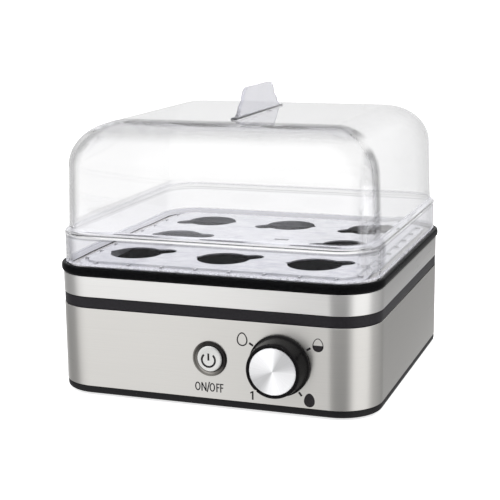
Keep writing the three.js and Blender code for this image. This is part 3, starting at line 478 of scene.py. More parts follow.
def hood_shade(n, x, y, z):
    """The share of light that is left: less on the front rim, the roof's right and the rear right."""
    out = n.most(n.minus(n.math("ABSOLUTE", x), RIM_ARC_X), 0.0)
    up = n.most(n.minus(z, RIM_ARC_Z), 0.0)
    reach = n.math("SQRT", n.total(n.product(out, out), n.product(up, up)))
    front = n.fall(n.minus(y, n.product(up, 0.5)), -0.072, -0.062)
    rim = n.product(n.rise(reach, 0.0165, 0.0235, smooth=True), front, n.span(x, 0.30, 0.10, -0.07, 0.07))
    roof = n.product(n.rise(z, 0.155, 0.160), n.span(x, 0.0, 0.11, -0.06, 0.07))
    side = n.product(n.span(y, 0.0, 0.16, 0.036, 0.078), n.rise(x, 0.062, 0.088))
    return n.minus(1.0, n.total(rim, roof, side))


def hood_tint_and_painted_shade(n, edge, rear, painted_fold_shade, grip, x, y, z):
    """The colour of the clear plastic with painted shade: darker at a slant, darker again by hood_shade,
    grey on the grip and dark at the folds.
    """
    # Painted shade: darker the more the surface slants away.
    tint = n.ramp(edge, (0.0, 1.0), (0.28, 0.99), (0.5, (0.93, 0.93, 0.935)), (0.67, (0.88, 0.88, 0.89)),
                  (0.80, (0.80, 0.80, 0.81)), (0.90, (0.68, 0.68, 0.69)), (1.0, (0.48, 0.48, 0.50)))
    tint = n.mix(rear, tint, WHITE)
    # Painted shade on the front rim, the roof's right and the rear right.
    tint = n.mix(hood_shade(n, x, y, z), BLACK, tint)
    # Painted shade: the grip is greyed.
    tint = n.mix(grip, tint, (0.58, 0.58, 0.585, 1))
    tint = n.mix(n.span(z, 0.165, 0.0, *SKIRT_TOP), tint, (0.45, 0.45, 0.58, 1))
    # Painted shade: dark lines at the two folds.
    return n.mix(painted_fold_shade, tint, (0.08, 0.08, 0.09, 1))


def hood_haze(n, rear, grip, x, y, z):
    """How white the plastic is: scuffs all over, streaks on its foot and a veil on the front's low part."""
    scuff = n.noise(260.0, roughness=0.6)
    streak = n.noise(1.0, (420, 420, 30), 3.0, 0.6)
    foot = n.product(n.fall(z, 0.0797, 0.0822, smooth=True), n.rise(z, 0.0798, 0.0802),
                     n.span(streak, 0.35, 0.95, 0.35, 0.60))
    foot = n.most(foot, n.product(rear, n.fall(z, *LEDGE)))
    veil = n.product(n.band(z, 0.1000, 0.1020, 0.104, 0.120), n.fall(x, 0.054, 0.066),
                     n.span(y, 0.07, 0.0, -0.084, -0.080))
    step = n.product(n.band(z, *STEP), 0.2)
    return n.most(n.spread(scuff, 0.001, 0.004), foot, veil, step, n.product(grip, 0.2))


def hood_film_and_painted_shade(n, edge, painted_fold_shade, y, z):
    """The colour of light that passes straight through, with painted shade: darker at a slant, darker still
    through the rear wall, and dark at the folds.
    """
    # Painted shade: darker the more the surface slants away.
    film = n.ramp(edge, (0.0, 0.99), (0.4, (0.975, 0.975, 0.98)), (0.65, (0.91, 0.91, 0.92)),
                  (0.85, (0.84, 0.84, 0.85)), (1.0, (0.62, 0.62, 0.64)))
    painted_rear_wall_shade = n.ramp(edge, (0.0, 0.99), (0.35, 0.96), (0.62, (0.74, 0.74, 0.75)), (1.0, (0.45, 0.45, 0.46)))
    film = n.mix(n.rise(y, 0.088, 0.098), film, painted_rear_wall_shade)
    film = n.mix(n.span(z, 0.5, 0.0, *SKIRT_TOP), film, (0.955, 0.955, 0.965, 1))
    # Painted shade at the two folds.
    return n.mix(painted_fold_shade, film, (0.35, 0.35, 0.37, 1))


def hood_straight(n, rear, x, y, z):
    """Where light passes straight: the skirt's rear and left, its front right and the roof's front."""
    low = n.band(z, *LEDGE, *SHOULDER_TOP)
    corner = n.product(n.span(x, 0.0, 0.55, 0.0880, 0.0905), n.fall(y, -0.062, -0.054),
                       n.rise(z, 0.083, 0.085))
    crest = n.product(n.span(z, 0.0, 0.5, 0.156, 0.160), n.fall(y, -0.052, -0.046))
    return n.most(n.product(rear, low), corner, crest)


def clear_plastic():
    """The hood: clear moulded plastic, whitish on its foot, with painted shade in its colour and a painted
    glow on its rear. Lamps shine through it.
    """
    n = Nodes("hood_clear")
    x, y, z = n.axes()
    edge = n.new("ShaderNodeLayerWeight", {"Blend": 0.5}).outputs["Facing"]
    rear = hood_rear(n, x, y, z)
    grip = n.rise(z, *GRIP_FOOT)
    # Where the two folds get painted shade.
    painted_fold_shade = n.product(n.most(n.band(z, *LOW_FOLD), n.band(z, *HIGH_FOLD)), n.span(rear, 0.46, 0.16))
    flow = n.noise(22.0, (1, 1, 0.5), 2.0, 0.4)
    tint = hood_tint_and_painted_shade(n, edge, rear, painted_fold_shade, grip, x, y, z)
    glass = n.principled(base_color=tint, roughness=0.0, ior=HOOD_IOR, transmission_weight=1.0,
                         normal=n.bump(flow, 0.02, 0.0006))
    film = n.new("ShaderNodeBsdfTransparent", {"Color": hood_film_and_painted_shade(n, edge, painted_fold_shade, y, z)})
    sheen = n.new("ShaderNodeBsdfGlossy", {"Color": WHITE, "Roughness": 0.03})
    thin = n.blend(n.ramp(edge, (0.0, 0.01), (0.7, 0.04), (1.0, 0.35)), film, sheen)
    pane = n.blend(hood_straight(n, rear, x, y, z), glass, thin)
    # Painted light: the whitish plastic glows a little of its own on the rear.
    milk = n.glowing(n.new("ShaderNodeBsdfDiffuse", {"Color": rgb(244, 244, 250)}), n.product(rear, 0.22))
    body = n.blend(hood_haze(n, rear, grip, x, y, z), pane, milk)
    return n.lamplit(body, (0.96, 0.96, 0.97, 1))


def milky_plastic():
    """The egg tray: clear plastic with so much haze that it looks white on a dark ground."""
    n = Nodes("tray_clear")
    flow = n.noise(30.0, detail=2.0, roughness=0.4)
    scuff = n.noise(120.0, roughness=0.6)
    smear = n.noise(85.0, (1.0, 2.2, 1.0), 6.0, 0.68)
    waves = n.bump(flow, 0.03, 0.0006)
    glass = n.principled(base_color=(0.98, 0.98, 1.0, 1), roughness=0.02, ior=TRAY_IOR,
                         transmission_weight=1.0, normal=waves)
    white = n.mix(n.span(smear, 0.0, 1.0, 0.30, 0.62), rgb(184, 185, 191), rgb(210, 210, 212))
    milk = n.principled(base_color=white, roughness=0.06, ior=TRAY_IOR, normal=waves)
    return n.lamplit(n.blend(n.spread(scuff, 0.86, 0.97), glass, milk), (0.35, 0.35, 0.36, 1))


def coated_steel():
    """The bowl: black coating inside the dish, bright steel on its flange and underneath."""
    n = Nodes("bowl_coating")
    height = n.axes()[2]
    coated = n.product(n.fall(height, 0.0763, 0.0769), n.rise(height, 0.0588, 0.0592))
    fleck = n.noise(2600.0, detail=2.0)
    cloud = n.noise(30.0, detail=3.0)
    black = n.mix(n.span(fleck, 0.0, 1.0, 0.62, 0.8), rgb(16, 16, 18), rgb(48, 48, 54))
    bsdf = n.principled(base_color=n.mix(coated, rgb(214, 212, 210), black), metallic=n.minus(1.0, coated),
                        roughness=n.total(n.spread(cloud, -0.05, 0.05), 0.5), specular_ior_level=0.0,
                        normal=n.bump(fleck, 0.08, 0.00005))
    return n.surface(bsdf)


# Painted reflection: brightness of the knob's face at angles from +X, in degrees
PAINTED_REFLECTION_FANS = ((0, 0.72), (14, 0.57), (30, 0.48), (60, 0.48), (76, 0.68), (88, 0.90), (120, 0.88), (165, 0.77),
        (192, 0.68), (208, 0.51), (232, 0.49), (245, 0.62), (256, 0.82), (275, 0.91), (312, 0.81),
        (360, 0.74))


def spun_metal():
    """The knob's face: bright metal turned in fine rings, with the two grey sectors that such a face shows
    in its reflection painted into its colour.
    """
    n = Nodes("spun_metal")
    x, _, z = n.axes(n.place(offset=(-KNOB_X * MM, 0, -CONTROL_Z * MM)))
    rings = n.line_noise(n.math("SQRT", n.total(n.math("POWER", x, 2.0), n.math("POWER", z, 2.0))), 9000.0)
    turn = n.math("FRACT", n.total(n.math("DIVIDE", n.math("ARCTAN2", z, x), 2 * math.pi), 1.0))
    spokes = n.line_noise(turn, 90.0)
    # Painted reflection: grey and bright sectors round the face.
    painted_fans = n.ramp(turn, *[(degrees / 360, level) for degrees, level in PAINTED_REFLECTION_FANS])
    fine = n.product(n.spread(rings, 0.95, 1.02), n.spread(spokes, 0.97, 1.03))
    bsdf = n.principled(base_color=n.mix(n.product(painted_fans, fine), BLACK, rgb(254, 254, 255)), metallic=0.35,
                        roughness=n.spread(rings, 0.32, 0.40), anisotropic=0.5, anisotropic_rotation=0.25,
                        specular_ior_level=0.1,
                        tangent=n.new("ShaderNodeTangent", direction_type="RADIAL", axis="Y"),
                        normal=n.bump(rings, 0.05, 0.00001))
    return n.surface(bsdf)


def ring_chrome():
    """The button's ring: dark chrome with a painted reflection, darkest at its upper right where it looks
    into the dark.
    """
    n = Nodes("dark_chrome")
    x, _, z = n.axes(n.place(offset=(-BUTTON_X * MM, 0, -CONTROL_Z * MM)))
    cloud = n.noise(300.0, detail=2.0)
    # Painted reflection: darker towards the upper right.
    level = n.total(n.rise(n.total(x, z), -0.012, 0.006), n.spread(cloud, -0.05, 0.05))
    bsdf = n.principled(base_color=n.mix(level, rgb(150, 147, 142), rgb(52, 50, 49)), metallic=1.0,
                        roughness=n.spread(cloud, 0.26, 0.34))
    return n.surface(bsdf)


steel = brushed_steel("casing_steel", rgb(234, 232, 228), 0.97)
# The band's steel is a lighter copy of the casing's steel: painted light for the band's brighter
# reflection.
band_steel = brushed_steel("band_steel", rgb(250, 249, 247), 1.0)
ring_black = plastic("ring_black", rgb(5, 5, 6), 0.30, gloss=0.03)
band_black = plastic("band_black", rgb(22, 20, 24), 0.38, gloss=0.25)
pan_black = plastic("pan_black", rgb(16, 15, 17), 0.42, gloss=0.22)
knob_black = plastic("knob_black", rgb(7, 6, 7), 0.26, gloss=0.1)
print_grey = plastic("print_grey", rgb(36, 34, 36), 0.5, gloss=0.1)
hood_clear = clear_plastic()
tray_clear = milky_plastic()
bowl_coating = coated_steel()
spun_face = spun_metal()
dark_chrome = ring_chrome()
button_metal = metal("button_metal", rgb(254, 254, 252), 0.30, 2500.0, 0.04)
screw_steel = metal("screw_steel", rgb(176, 174, 170), 0.35, 1800.0, 0.1)
aluminium = metal("aluminium", rgb(196, 198, 200), 0.42, 500.0, 0.12, (1, 8, 1))
element_steel = metal("element_steel", rgb(120, 112, 104), 0.4, 700.0, 0.15)
rubber = plastic("rubber", rgb(26, 26, 27), 0.75, 1600.0, 0.15, 0.3)
silicone = plastic("silicone", rgb(196, 92, 64), 0.6, 700.0, 0.06, 0.4)
ceramic = plastic("ceramic", rgb(236, 230, 216), 0.45, 1400.0, 0.1)
bakelite = plastic("bakelite", rgb(72, 46, 32), 0.4, 1100.0, 0.08)
board_green = plastic("board_green", rgb(28, 92, 52), 0.35, 500.0, 0.05)
carrier_black = plastic("carrier_black", rgb(44, 44, 46), 0.5, 700.0, 0.08)
relay_blue = plastic("relay_blue", rgb(38, 70, 128), 0.4, 900.0, 0.05)


# Hood

HOOD_LOW, HOOD_INSET, HOOD_WALL = 77.8, 1.8, 2.2
SHOULDER, SHOULDER_RISE, SKIRT, DRAFT = 2.6, 2.4, 19.8, 1.3
HOOD_HEIGHT, ROOF_RADIUS, ROOF_CORNER = 85.7, 28.0, 6.0
ROOF_Z = HOOD_LOW + HOOD_HEIGHT
ROOF_STEPS = 26
GRIP_REACH = 45.0
VENT_X, VENT_Y, VENT_RADIUS = 4.2, 9.0, 1.8


def hood_rows(grow):
    """Rows round the hood from its foot to its roof, on its outer face moved inwards by grow."""
    skirt_top = HOOD_LOW + SKIRT - grow
    skirt_inset = HOOD_INSET + grow
    wall_inset = skirt_inset + SHOULDER
    top = HOOD_LOW + HOOD_HEIGHT - grow
    arc = ROOF_RADIUS - grow
    wall_corner = CORNER - wall_inset - DRAFT
    shoulder = fillet([(skirt_inset, HOOD_LOW + 4, 0), (skirt_inset, skirt_top + 1.0, 1.0),
                       (skirt_inset + SHOULDER * 0.45, skirt_top + SHOULDER_RISE * 0.85, 1.0),
                       (wall_inset, skirt_top + SHOULDER_RISE * 1.1, 1.2),
                       (wall_inset + 0.2, skirt_top + 9, 0)], closed=False, steps=6)
    rows = [ring_row(skirt_inset, HOOD_LOW, CORNER - skirt_inset)]
    rows += [ring_row(a, b, CORNER - a) for a, b in shoulder]
    bend_z = top - arc
    rows.append(ring_row(wall_inset + DRAFT - 0.08, bend_z - 2.0, wall_corner + 0.08))
    for step in range(ROOF_STEPS + 1):
        t = step / ROOF_STEPS
        a = t * math.pi / 2
        inset = wall_inset + DRAFT + arc * (1 - math.cos(a))
        corner = wall_corner + (ROOF_CORNER - wall_corner) * t
        rows.append(ring_row(inset, bend_z + arc * math.sin(a), corner))
    rows.append(ring_row(wall_inset + DRAFT + arc + 1.6, top, ROOF_CORNER - 1.6))
    return rows


def bezier(a, b, c):
    a, b, c = Vector(a), Vector(b), Vector(c)
    shares = [step / BEZIER_STEPS for step in range(1, BEZIER_STEPS + 1)]
    return [tuple(a.lerp(b, t).lerp(b.lerp(c, t), t)) for t in shares]


def grip_shape():
    """The grip's blade in the plane X = 0, with eased edges."""
    waist, top, rise, height, bend = 34.5, 28.0, 7.0, 17.7, 8.0
    right = [(GRIP_REACH, -1.1), (GRIP_REACH, 0.0)]
    right += bezier((GRIP_REACH, 0.0), (waist + rise / 3, rise / 4), (waist, rise))
    right += [(top + bend / 4, height - bend)]
    right += bezier((top + bend / 4, height - bend), (top, height), (top - bend, height))
    outline = right + [(-a, b) for a, b in reversed(right)]
    half = [(1.2, 0.9), (1.2, 0.45), (1.05, 0.12), (0.75, 0.0)]
    slices = [(-x, drop) for x, drop in half] + half[::-1]
    shapes = []
    for x, drop in slices:
        row = []
        for i, (a, b) in enumerate(outline):
            before, after = Vector(outline[i - 1]), Vector(outline[(i + 1) % len(outline)])
            along = (after - before).normalized()
            inward = Vector((-along.y, along.x))
            p = Vector((a, b)) + inward * (drop if b > 0.01 else 0.0)
            row.append((x, p.x + CENTRE_Y, ROOF_Z + p.y))
        shapes.append(row)
    return loft(shapes)


def grip_foot():
    """The raised strip that the blade stands on."""
    corners = ((1, -1), (1, 1), (-1, 1), (-1, -1))
    rows = []
    for half_width, z in ((2.0, -1.1), (2.0, 0.5), (1.75, 0.95), (1.35, 1.2)):
        reach = GRIP_REACH + half_width - 2.0
        rows.append([(sx * half_width, sy * reach + CENTRE_Y, ROOF_Z + z) for sx, sy in corners])
    return loft(rows)


def build_hood():
    shell = loft(hood_rows(0.0)[::-1] + hood_rows(HOOD_WALL))
    vent = cylinder(VENT_X, CENTRE_Y + VENT_Y, VENT_RADIUS, ROOF_Z - 6, ROOF_Z + 6, 32)
    piece("hood_moulding", shell, "hood", hood_clear, ["hood"],
          joins=[grip_shape(), grip_foot()], cuts=[vent], angle=38)


# Egg tray

TRAY_RIB = 14.2
SLOT_X, SLOT_Y, SLOT_LENGTH, SLOT_WIDTH = 13, 6, 10, 3.4
EGG_STEPS = 120
EGG_PITCH, EGG_SHIFT, EGG_ROW = 57.5, 3.9, 55.0
EGG_HOLES = []
for column in (-1, 0, 1):
    EGG_HOLES.append((column * EGG_PITCH - EGG_SHIFT, -EGG_ROW, 30.0))
    EGG_HOLES.append((column * EGG_PITCH + EGG_SHIFT, EGG_ROW, 210.0))
EGG_HOLES += [(-EGG_PITCH, 0.0, 12.0), (EGG_PITCH, 0.0, 192.0)]


def egg_outline(cx, cy, notch, grow=0.0):
    """A round hole with a wide rounded notch on one side and a pointed nick opposite."""
    radius, ear, reach, tip = 16.2 + grow, 6.0 + grow, 19.0, 18.5 + grow
    nick_foot = 13.5
    back = math.pi if notch < 90 else 0.0
    angles = [2 * math.pi * i / EGG_STEPS for i in range(EGG_STEPS)]
    reaches = []
    for a in angles:
        r = radius
        t = a - math.radians(notch)
        if math.cos(t) > 0:
            side = abs(math.sin(t))
            if side * reach < ear * math.cos(t) or side < 1e-6:
                r = max(r, reach * math.cos(t) + math.sqrt(max(ear ** 2 - (reach * side) ** 2, 0)))
            elif ear / side * math.cos(t) <= reach:
                r = max(r, ear / side)
        t = a - back
        if math.cos(t) > 0:
            nick = tip / (math.cos(t) + abs(math.sin(t)))
            if nick * math.cos(t) >= nick_foot:
                r = max(r, nick)
        reaches.append(r)
    for _ in range(2):
        reaches = [0.25 * reaches[i - 1] + 0.5 * reaches[i] + 0.25 * reaches[(i + 1) % EGG_STEPS]
                   for i in range(EGG_STEPS)]
    return [(cx + r * math.cos(a), cy + CENTRE_Y + r * math.sin(a)) for a, r in zip(angles, reaches)]


def tray_ribs():
    """Short ribs across the tray's border, eight to a side."""
    row_x, row_y = HALF_X - TRAY_RIB, HALF_Y - TRAY_RIB
    half, rib = 2.0, 0.6
    ribs = []
    for i in range(8):
        share = (i - 3.5) / 3.5
        for s in (-1, 1):
            x, y = share * 75.0, s * row_y + CENTRE_Y
            ribs.append(block(x - rib, x + rib, y - half, y + half, 78.4, 80.1))
            x, y = s * row_x, share * 73.5 + CENTRE_Y
            ribs.append(block(x - half, x + half, y - rib, y + rib, 78.4, 80.1))
    return merged(*ribs)


def build_tray():
    under, top = 79.2, 80.4
    border = [(10.0, 77.8, 0.3), (10.0, 79.0, 0.4), (15.0, 79.0, 0.3), (15.7, top, 0.5), (18.0, top, 0)]
    rows = [ring_row(19.0, under), ring_row(17.4, under), ring_row(17.4, 77.8)]
    rows += [ring_row(a, b) for a, b in fillet(border, closed=False)]
    rows.append(ring_row(19.0, top))
    skirt_profile = fillet([(18.0, 74.2, 0.4), (18.0, 79.8, 0), (19.5, 79.8, 0), (19.5, 74.2, 0.4)])
    skirt = loft([ring_row(a, b, 10.0) for a, b in skirt_profile], looped=True)
    hole_rows = ((70.0, 1.4), (79.6, 1.4), (80.1, 0.0), (84.0, 0.0))
    holes = []
    for hole in EGG_HOLES:
        holes.append(loft([[(x, y, z) for x, y in egg_outline(*hole, grow)] for z, grow in hole_rows]))
    slots = []
    for s in (-1, 1):
        x, y = s * SLOT_X, s * SLOT_Y + CENTRE_Y
        slots.append(block(x - SLOT_LENGTH / 2, x + SLOT_LENGTH / 2, y - SLOT_WIDTH / 2, y + SLOT_WIDTH / 2,
                           70.0, 84.0))
    piece("egg_tray_moulding", loft(rows), "egg_tray", tray_clear, ["egg_tray"],
          joins=[skirt, tray_ribs()], cuts=[merged(*holes, *slots)], angle=35)


# Body

BUTTON_HOLE, KNOB_HOLE, CORD_HOLE = 9.5, 5.0, 5.5
BOARD_X, BOARD_Y, BOARD_POST_X, BOARD_POST_Y = -40, 12, 35, 28
VENTS, VENT_PITCH = 7, 8.0


def cord_hole():
    """A cutter through the rear for the cord."""
    place = Matrix.Translation((CORD_X, CENTRE_Y + HALF_Y, CORD_Z)) @ Matrix.Rotation(math.pi / 2, 4, "X")
    return moved(cylinder(0, 0, CORD_HOLE, -6, 6, 48), place)


def build_body():
    lip = [(0.0, 74.2, 0.2), (-0.88, 75.17, 0.5), (-1.1, 76.47, 0.6), (-0.94, 78.52, 0.7),
           (-0.33, 79.38, 0.4), (0.47, 79.6, 0.3), (1.4, 79.6, 0.25), (1.4, 77.5, 0.2), (4.4, 77.5, 0.2),
           (4.4, 75.0, 0.1), (12.0, 75.0, 0.2), (12.0, 73.4, 0.2), (2.9, 73.4, 0.2), (2.9, 69.2, 0.2),
           (1.1, 69.2, 0.2), (1.1, 74.2, 0)]
    piece("upper_ring", frame_loft(lip), "base", ring_black, ["upper_trim_ring"])
    band = [(0.0, 61.5, 0.25), (0.0, 73.9, 0.25), (0.8, 73.9, 0.2), (0.8, 61.5, 0.2)]
    piece("steel_band", frame_loft(band), "base", band_steel, ["upper_band"])
    ring = [(0.3, 54.8, 0.5), (1.1, 54.8, 0), (1.1, 49.8, 0.2), (2.9, 49.8, 0.2), (2.9, 55.5, 0),
            (12.0, 55.5, 0.3), (12.0, 57.5, 0.3), (2.9, 57.5, 0), (2.9, 66.2, 0.2), (1.1, 66.2, 0.2),
            (1.1, 61.2, 0), (0.3, 61.2, 0.5)]
    piece("middle_ring", frame_loft(ring), "base", band_black, ["middle_trim_ring"])
    casing = [(0.0, 6.0, 0.25), (0.0, 54.5, 0.25), (0.8, 54.5, 0.2), (0.8, 6.0, 0.2)]
    button_hole = on_panel(cylinder(0, 0, BUTTON_HOLE, -4, 4, 96), BUTTON_X)
    knob_hole = on_panel(cylinder(0, 0, KNOB_HOLE, -4, 4, 64), KNOB_X)
    piece("steel_casing", frame_loft(casing), "base", steel, ["lower_casing"],
          cuts=[button_hole, knob_hole, cord_hole()])


def pan_vent(y):
    """A cutter for one rounded slot in the pan's floor."""
    half_length, radius, centre_x = 13.5, 1.5, 45
    outline = []
    for side, start in ((1, -90), (-1, 90)):
        for step in range(13):
            a = math.radians(start + 15 * step)
            outline.append((centre_x + half_length * side + radius * math.cos(a), y + radius * math.sin(a)))
    return prism(outline, 0, 6)


def build_foot(x, y, name):
    place = Matrix.Translation((x, y, 0))
    disc = lathe([(0, 0), (5.4, 0), (5.6, 0.1), (6.6, 0.5), (7.0, 1.0), (7.0, 2.4), (0, 2.4)], 64)
    grooves = [moved(lathe([(r, -0.2), (r + 0.5, -0.2), (r + 0.5, 0.3), (r, 0.3)], 48, True), place)
               for r in (1.6, 3.4)]
    piece("rubber_foot_" + name, moved(disc, place), "base", rubber, ["foot_" + name],
          cuts=grooves)


def build_pan():
    side = fillet([(1.2, 1.5, 0.3), (0.45, 2.1, 0.5), (0.2, 3.6, 0.5), (0.2, 5.7, 0.3), (1.1, 5.7, 0),
                   (1.1, 17.5, 0.2), (2.9, 17.5, 0.2), (2.9, 4.0, 0.3), (6.0, 4.0, 0)], closed=False)
    pan = loft([ring_row(6.0, 1.5)] + [ring_row(a, b) for a, b in side])
    posts, holes = [], []
    for sx, sy, _ in CORNERS:
        x, y = sx * SCREW_X, sy * SCREW_Y + CENTRE_Y
        posts.append(cylinder(x, y, 5.0, 2.7, 9.5, 40))
        post_x, post_y = BOARD_X + sx * BOARD_POST_X, CENTRE_Y + BOARD_Y + sy * BOARD_POST_Y
        posts.append(cylinder(post_x, post_y, 2.6, 2.7, 9.7, 32))
        holes += [cylinder(x, y, 3.5, -1, 5.5, 40), cylinder(x, y, 1.7, 0, 18, 32)]
        holes.append(cylinder(sx * FOOT_X, sy * FOOT_Y + CENTRE_Y, 7.3, -1, 2.7, 64))
    holes += [pan_vent((i - VENTS // 2) * VENT_PITCH + CENTRE_Y) for i in range(VENTS)]
    holes.append(cord_hole())
    piece("pan", pan, "base", pan_black, ["base_pan"], joins=posts, cuts=holes)
    for sx, sy, name in CORNERS:
        build_foot(sx * FOOT_X, sy * FOOT_Y + CENTRE_Y, name)


def bowl_row(inset, z):
    return ring_row(inset, z, 16.0)


def build_bowl():
    under = [(26.2, 58.3), (25.3, 58.3), (23.2, 58.7), (21.6, 60.0), (20.9, 62.6), (13.9, 75.3),
             (13.2, 76.1)]
    flange = [(6.0, 76.3), (4.9, 76.3), (4.7, 76.5), (4.7, 77.3), (4.9, 77.5), (6.0, 77.5)]
    inside = [(12.6, 77.5), (13.5, 77.4), (14.5, 76.8), (15.0, 76.0), (21.9, 63.4), (22.4, 61.5),
              (23.6, 60.1), (25.5, 59.5), (27.0, 59.5)]
    rows = [bowl_row(a, b) for a, b in under] + [ring_row(a, b) for a, b in flange]
    rows += [bowl_row(a, b) for a, b in inside]
    studs = [cylinder(sx * 50.0, sy * 62.0 + CENTRE_Y, 2.0, 48.3, 58.6, 32) for sx, sy, _ in CORNERS]
    piece("bowl", loft(rows), "base", bowl_coating, ["heating_bowl"], joins=studs)


# Controls, as profiles of (radius, height over the panel)

BARREL = [(3.3, 1.5), (5.8, 1.5), (5.8, 10.2), (13.3, 10.2), (15.8, 0.6), (17.9, 0.6), (18.1, 0.7),
          (18.2, 1.0), (18.2, 2.0), (18.05, 2.5), (17.6, 2.8), (17.25, 3.0), (17.0, 3.5), (16.85, 4.2),
          (16.4, 8.5), (16.05, 12.2), (15.95, 12.9), (15.85, 13.4), (15.6, 13.8), (15.25, 14.0),
          (14.4, 14.0), (14.15, 13.9), (14.1, 13.6), (14.1, 12.6), (0, 12.6), (0, 10.5), (3.3, 10.5)]
KNOB_FACE = [(0, 12.9), (13.7, 12.9), (13.8, 13.0), (13.8, 13.55), (13.65, 13.72), (13.4, 13.8),
             (12.9, 13.8), (6.0, 13.8), (0.6, 13.8), (0, 13.78)]
BEZEL = [(8.05, -4.1), (9.2, -4.1), (9.2, 0.3), (10.4, 0.3), (10.5, 0.4), (10.5, 0.62), (10.35, 0.86),
         (10.05, 1.0), (9.6, 1.0), (9.2, 0.94), (8.35, 0.35), (8.1, 0.1), (8.05, -0.3)]
BUTTON = [(0, 0.86), (3.0, 0.865), (5.8, 0.88), (6.9, 0.9), (7.3, 0.86), (7.6, 0.7), (7.75, 0.4),
          (7.75, -2.6), (6.75, -2.6), (6.75, -0.5), (2.5, -0.5), (2.5, -9.65), (0, -9.65)]
GLAND = [(3.4, -1.6), (6.6, -1.6), (6.9, -1.3), (6.9, 0), (5.2, 0), (5.2, 3.2), (7.2, 3.2), (7.2, 4.4),
         (6.9, 5.0), (6.2, 5.3), (3.7, 5.3), (3.4, 5.0)]
GROOVE_ANGLE, GROOVE_REACH = 230.5, 15.7


def build_controls():
    turn = Matrix.Rotation(math.radians(GROOVE_ANGLE), 4, "Z")
    groove = moved(block(-0.6, 0.6, -0.5, 0.5, -1, 29), turn @ Matrix.Translation((GROOVE_REACH, 0, 0)))
    piece("knob_barrel", on_panel(lathe(BARREL, 160, True), KNOB_X), "knob", knob_black, ["knob_body"],
          cuts=[on_panel(groove, KNOB_X)])
    piece("knob_face", on_panel(lathe(KNOB_FACE, 160), KNOB_X), "knob", spun_face, ["knob_cap"])
    piece("button_ring", on_panel(lathe(BEZEL, 128, True), BUTTON_X), "base", dark_chrome, ["button_bezel"])
    piece("button_face", on_panel(lathe(BUTTON, 128), BUTTON_X), "button", button_metal, ["button_cap"])
    place = Matrix.Translation((CORD_X, GLAND_Y, CORD_Z)) @ Matrix.Rotation(-math.pi / 2, 4, "X")
    piece("gland", moved(lathe(GLAND, 72, True), place), "base", rubber, ["cord_grommet"])


# Marks printed on the front

INK_LOW, INK_HIGH = 0.004, 0.034
LETTER_HALF, LETTER_STROKE = 2.65, 0.72
TICK_START, TICK_END = 18.9, 21.7
POWER_GAP, POWER_OUTER, POWER_INNER, POWER_LIFT = 42, 4.7, 3.5, 0.862


def print_plate(outline, hole=None):
    """A printed mark from an outline in the panel's plane, with an optional hole of as many points."""
    rows = [[(x, y, INK_LOW) for x, y in outline], [(x, y, INK_HIGH) for x, y in outline]]
    if hole is None:
        return loft(rows)
    rows += [[(x, y, INK_HIGH) for x, y in hole], [(x, y, INK_LOW) for x, y in hole]]
    return loft(rows, looped=True)


def egg_points(half_w, half_h, grow=0.0, count=48):
    points = []
    for i in range(count):
        a = 2 * math.pi * i / count
        w = (half_w + grow) * math.sin(a) * (1 - 0.16 * math.cos(a))
        points.append((w, (half_h + grow) * math.cos(a) - 0.1))
    return points[::-1]


def oval(cx, half_w, half_h):
    angles = [2 * math.pi * i / 40 for i in range(40)]
    return [(cx + half_w * math.cos(a), half_h * math.sin(a)) for a in angles]


def stroke(x0, y0, x1, y1, width):
    a, b = Vector((x0, y0)), Vector((x1, y1))
    side = Vector((-(b - a).y, (b - a).x)).normalized() * width / 2
    return [tuple(p) for p in (a - side, b - side, b + side, a + side)]


def mark(name, shapes, x, z, body="base", lift=0.0):
    """Printed marks about a centre on the panel. Their own plane has +Y upwards."""
    stand = Matrix.Translation((x, FRONT_Y, z)) @ Matrix.Rotation(math.pi / 2, 4, "X")
    piece(name, moved(merged(*shapes), stand @ Matrix.Translation((0, 0, lift))), body, print_grey)


def letter_o(cx):
    outer = oval(cx, 1.72, LETTER_HALF)
    return print_plate(outer, oval(cx, 1.72 - LETTER_STROKE, LETTER_HALF - LETTER_STROKE))


def bars(*lines):
    return [print_plate(stroke(*line, LETTER_STROKE)) for line in lines]


def on_off():
    """The plates of the letters ON/OFF."""
    h = LETTER_HALF
    letters = [letter_o(-7.0)]
    letters += bars((-4.4, -h, -4.4, h), (-1.9, -h, -1.9, h), (-4.4, h - 0.2, -1.9, -h + 0.2))
    letters += bars((-1.15, -h - 0.5, 0.35, h + 0.5))
    letters.append(letter_o(2.1))
    for cx in (4.95, 7.35):
        top = h - LETTER_STROKE / 2
        letters += bars((cx, -h, cx, h), (cx + 0.3, top, cx + 1.75, top), (cx + 0.3, 0.15, cx + 1.5, 0.15))
    return letters


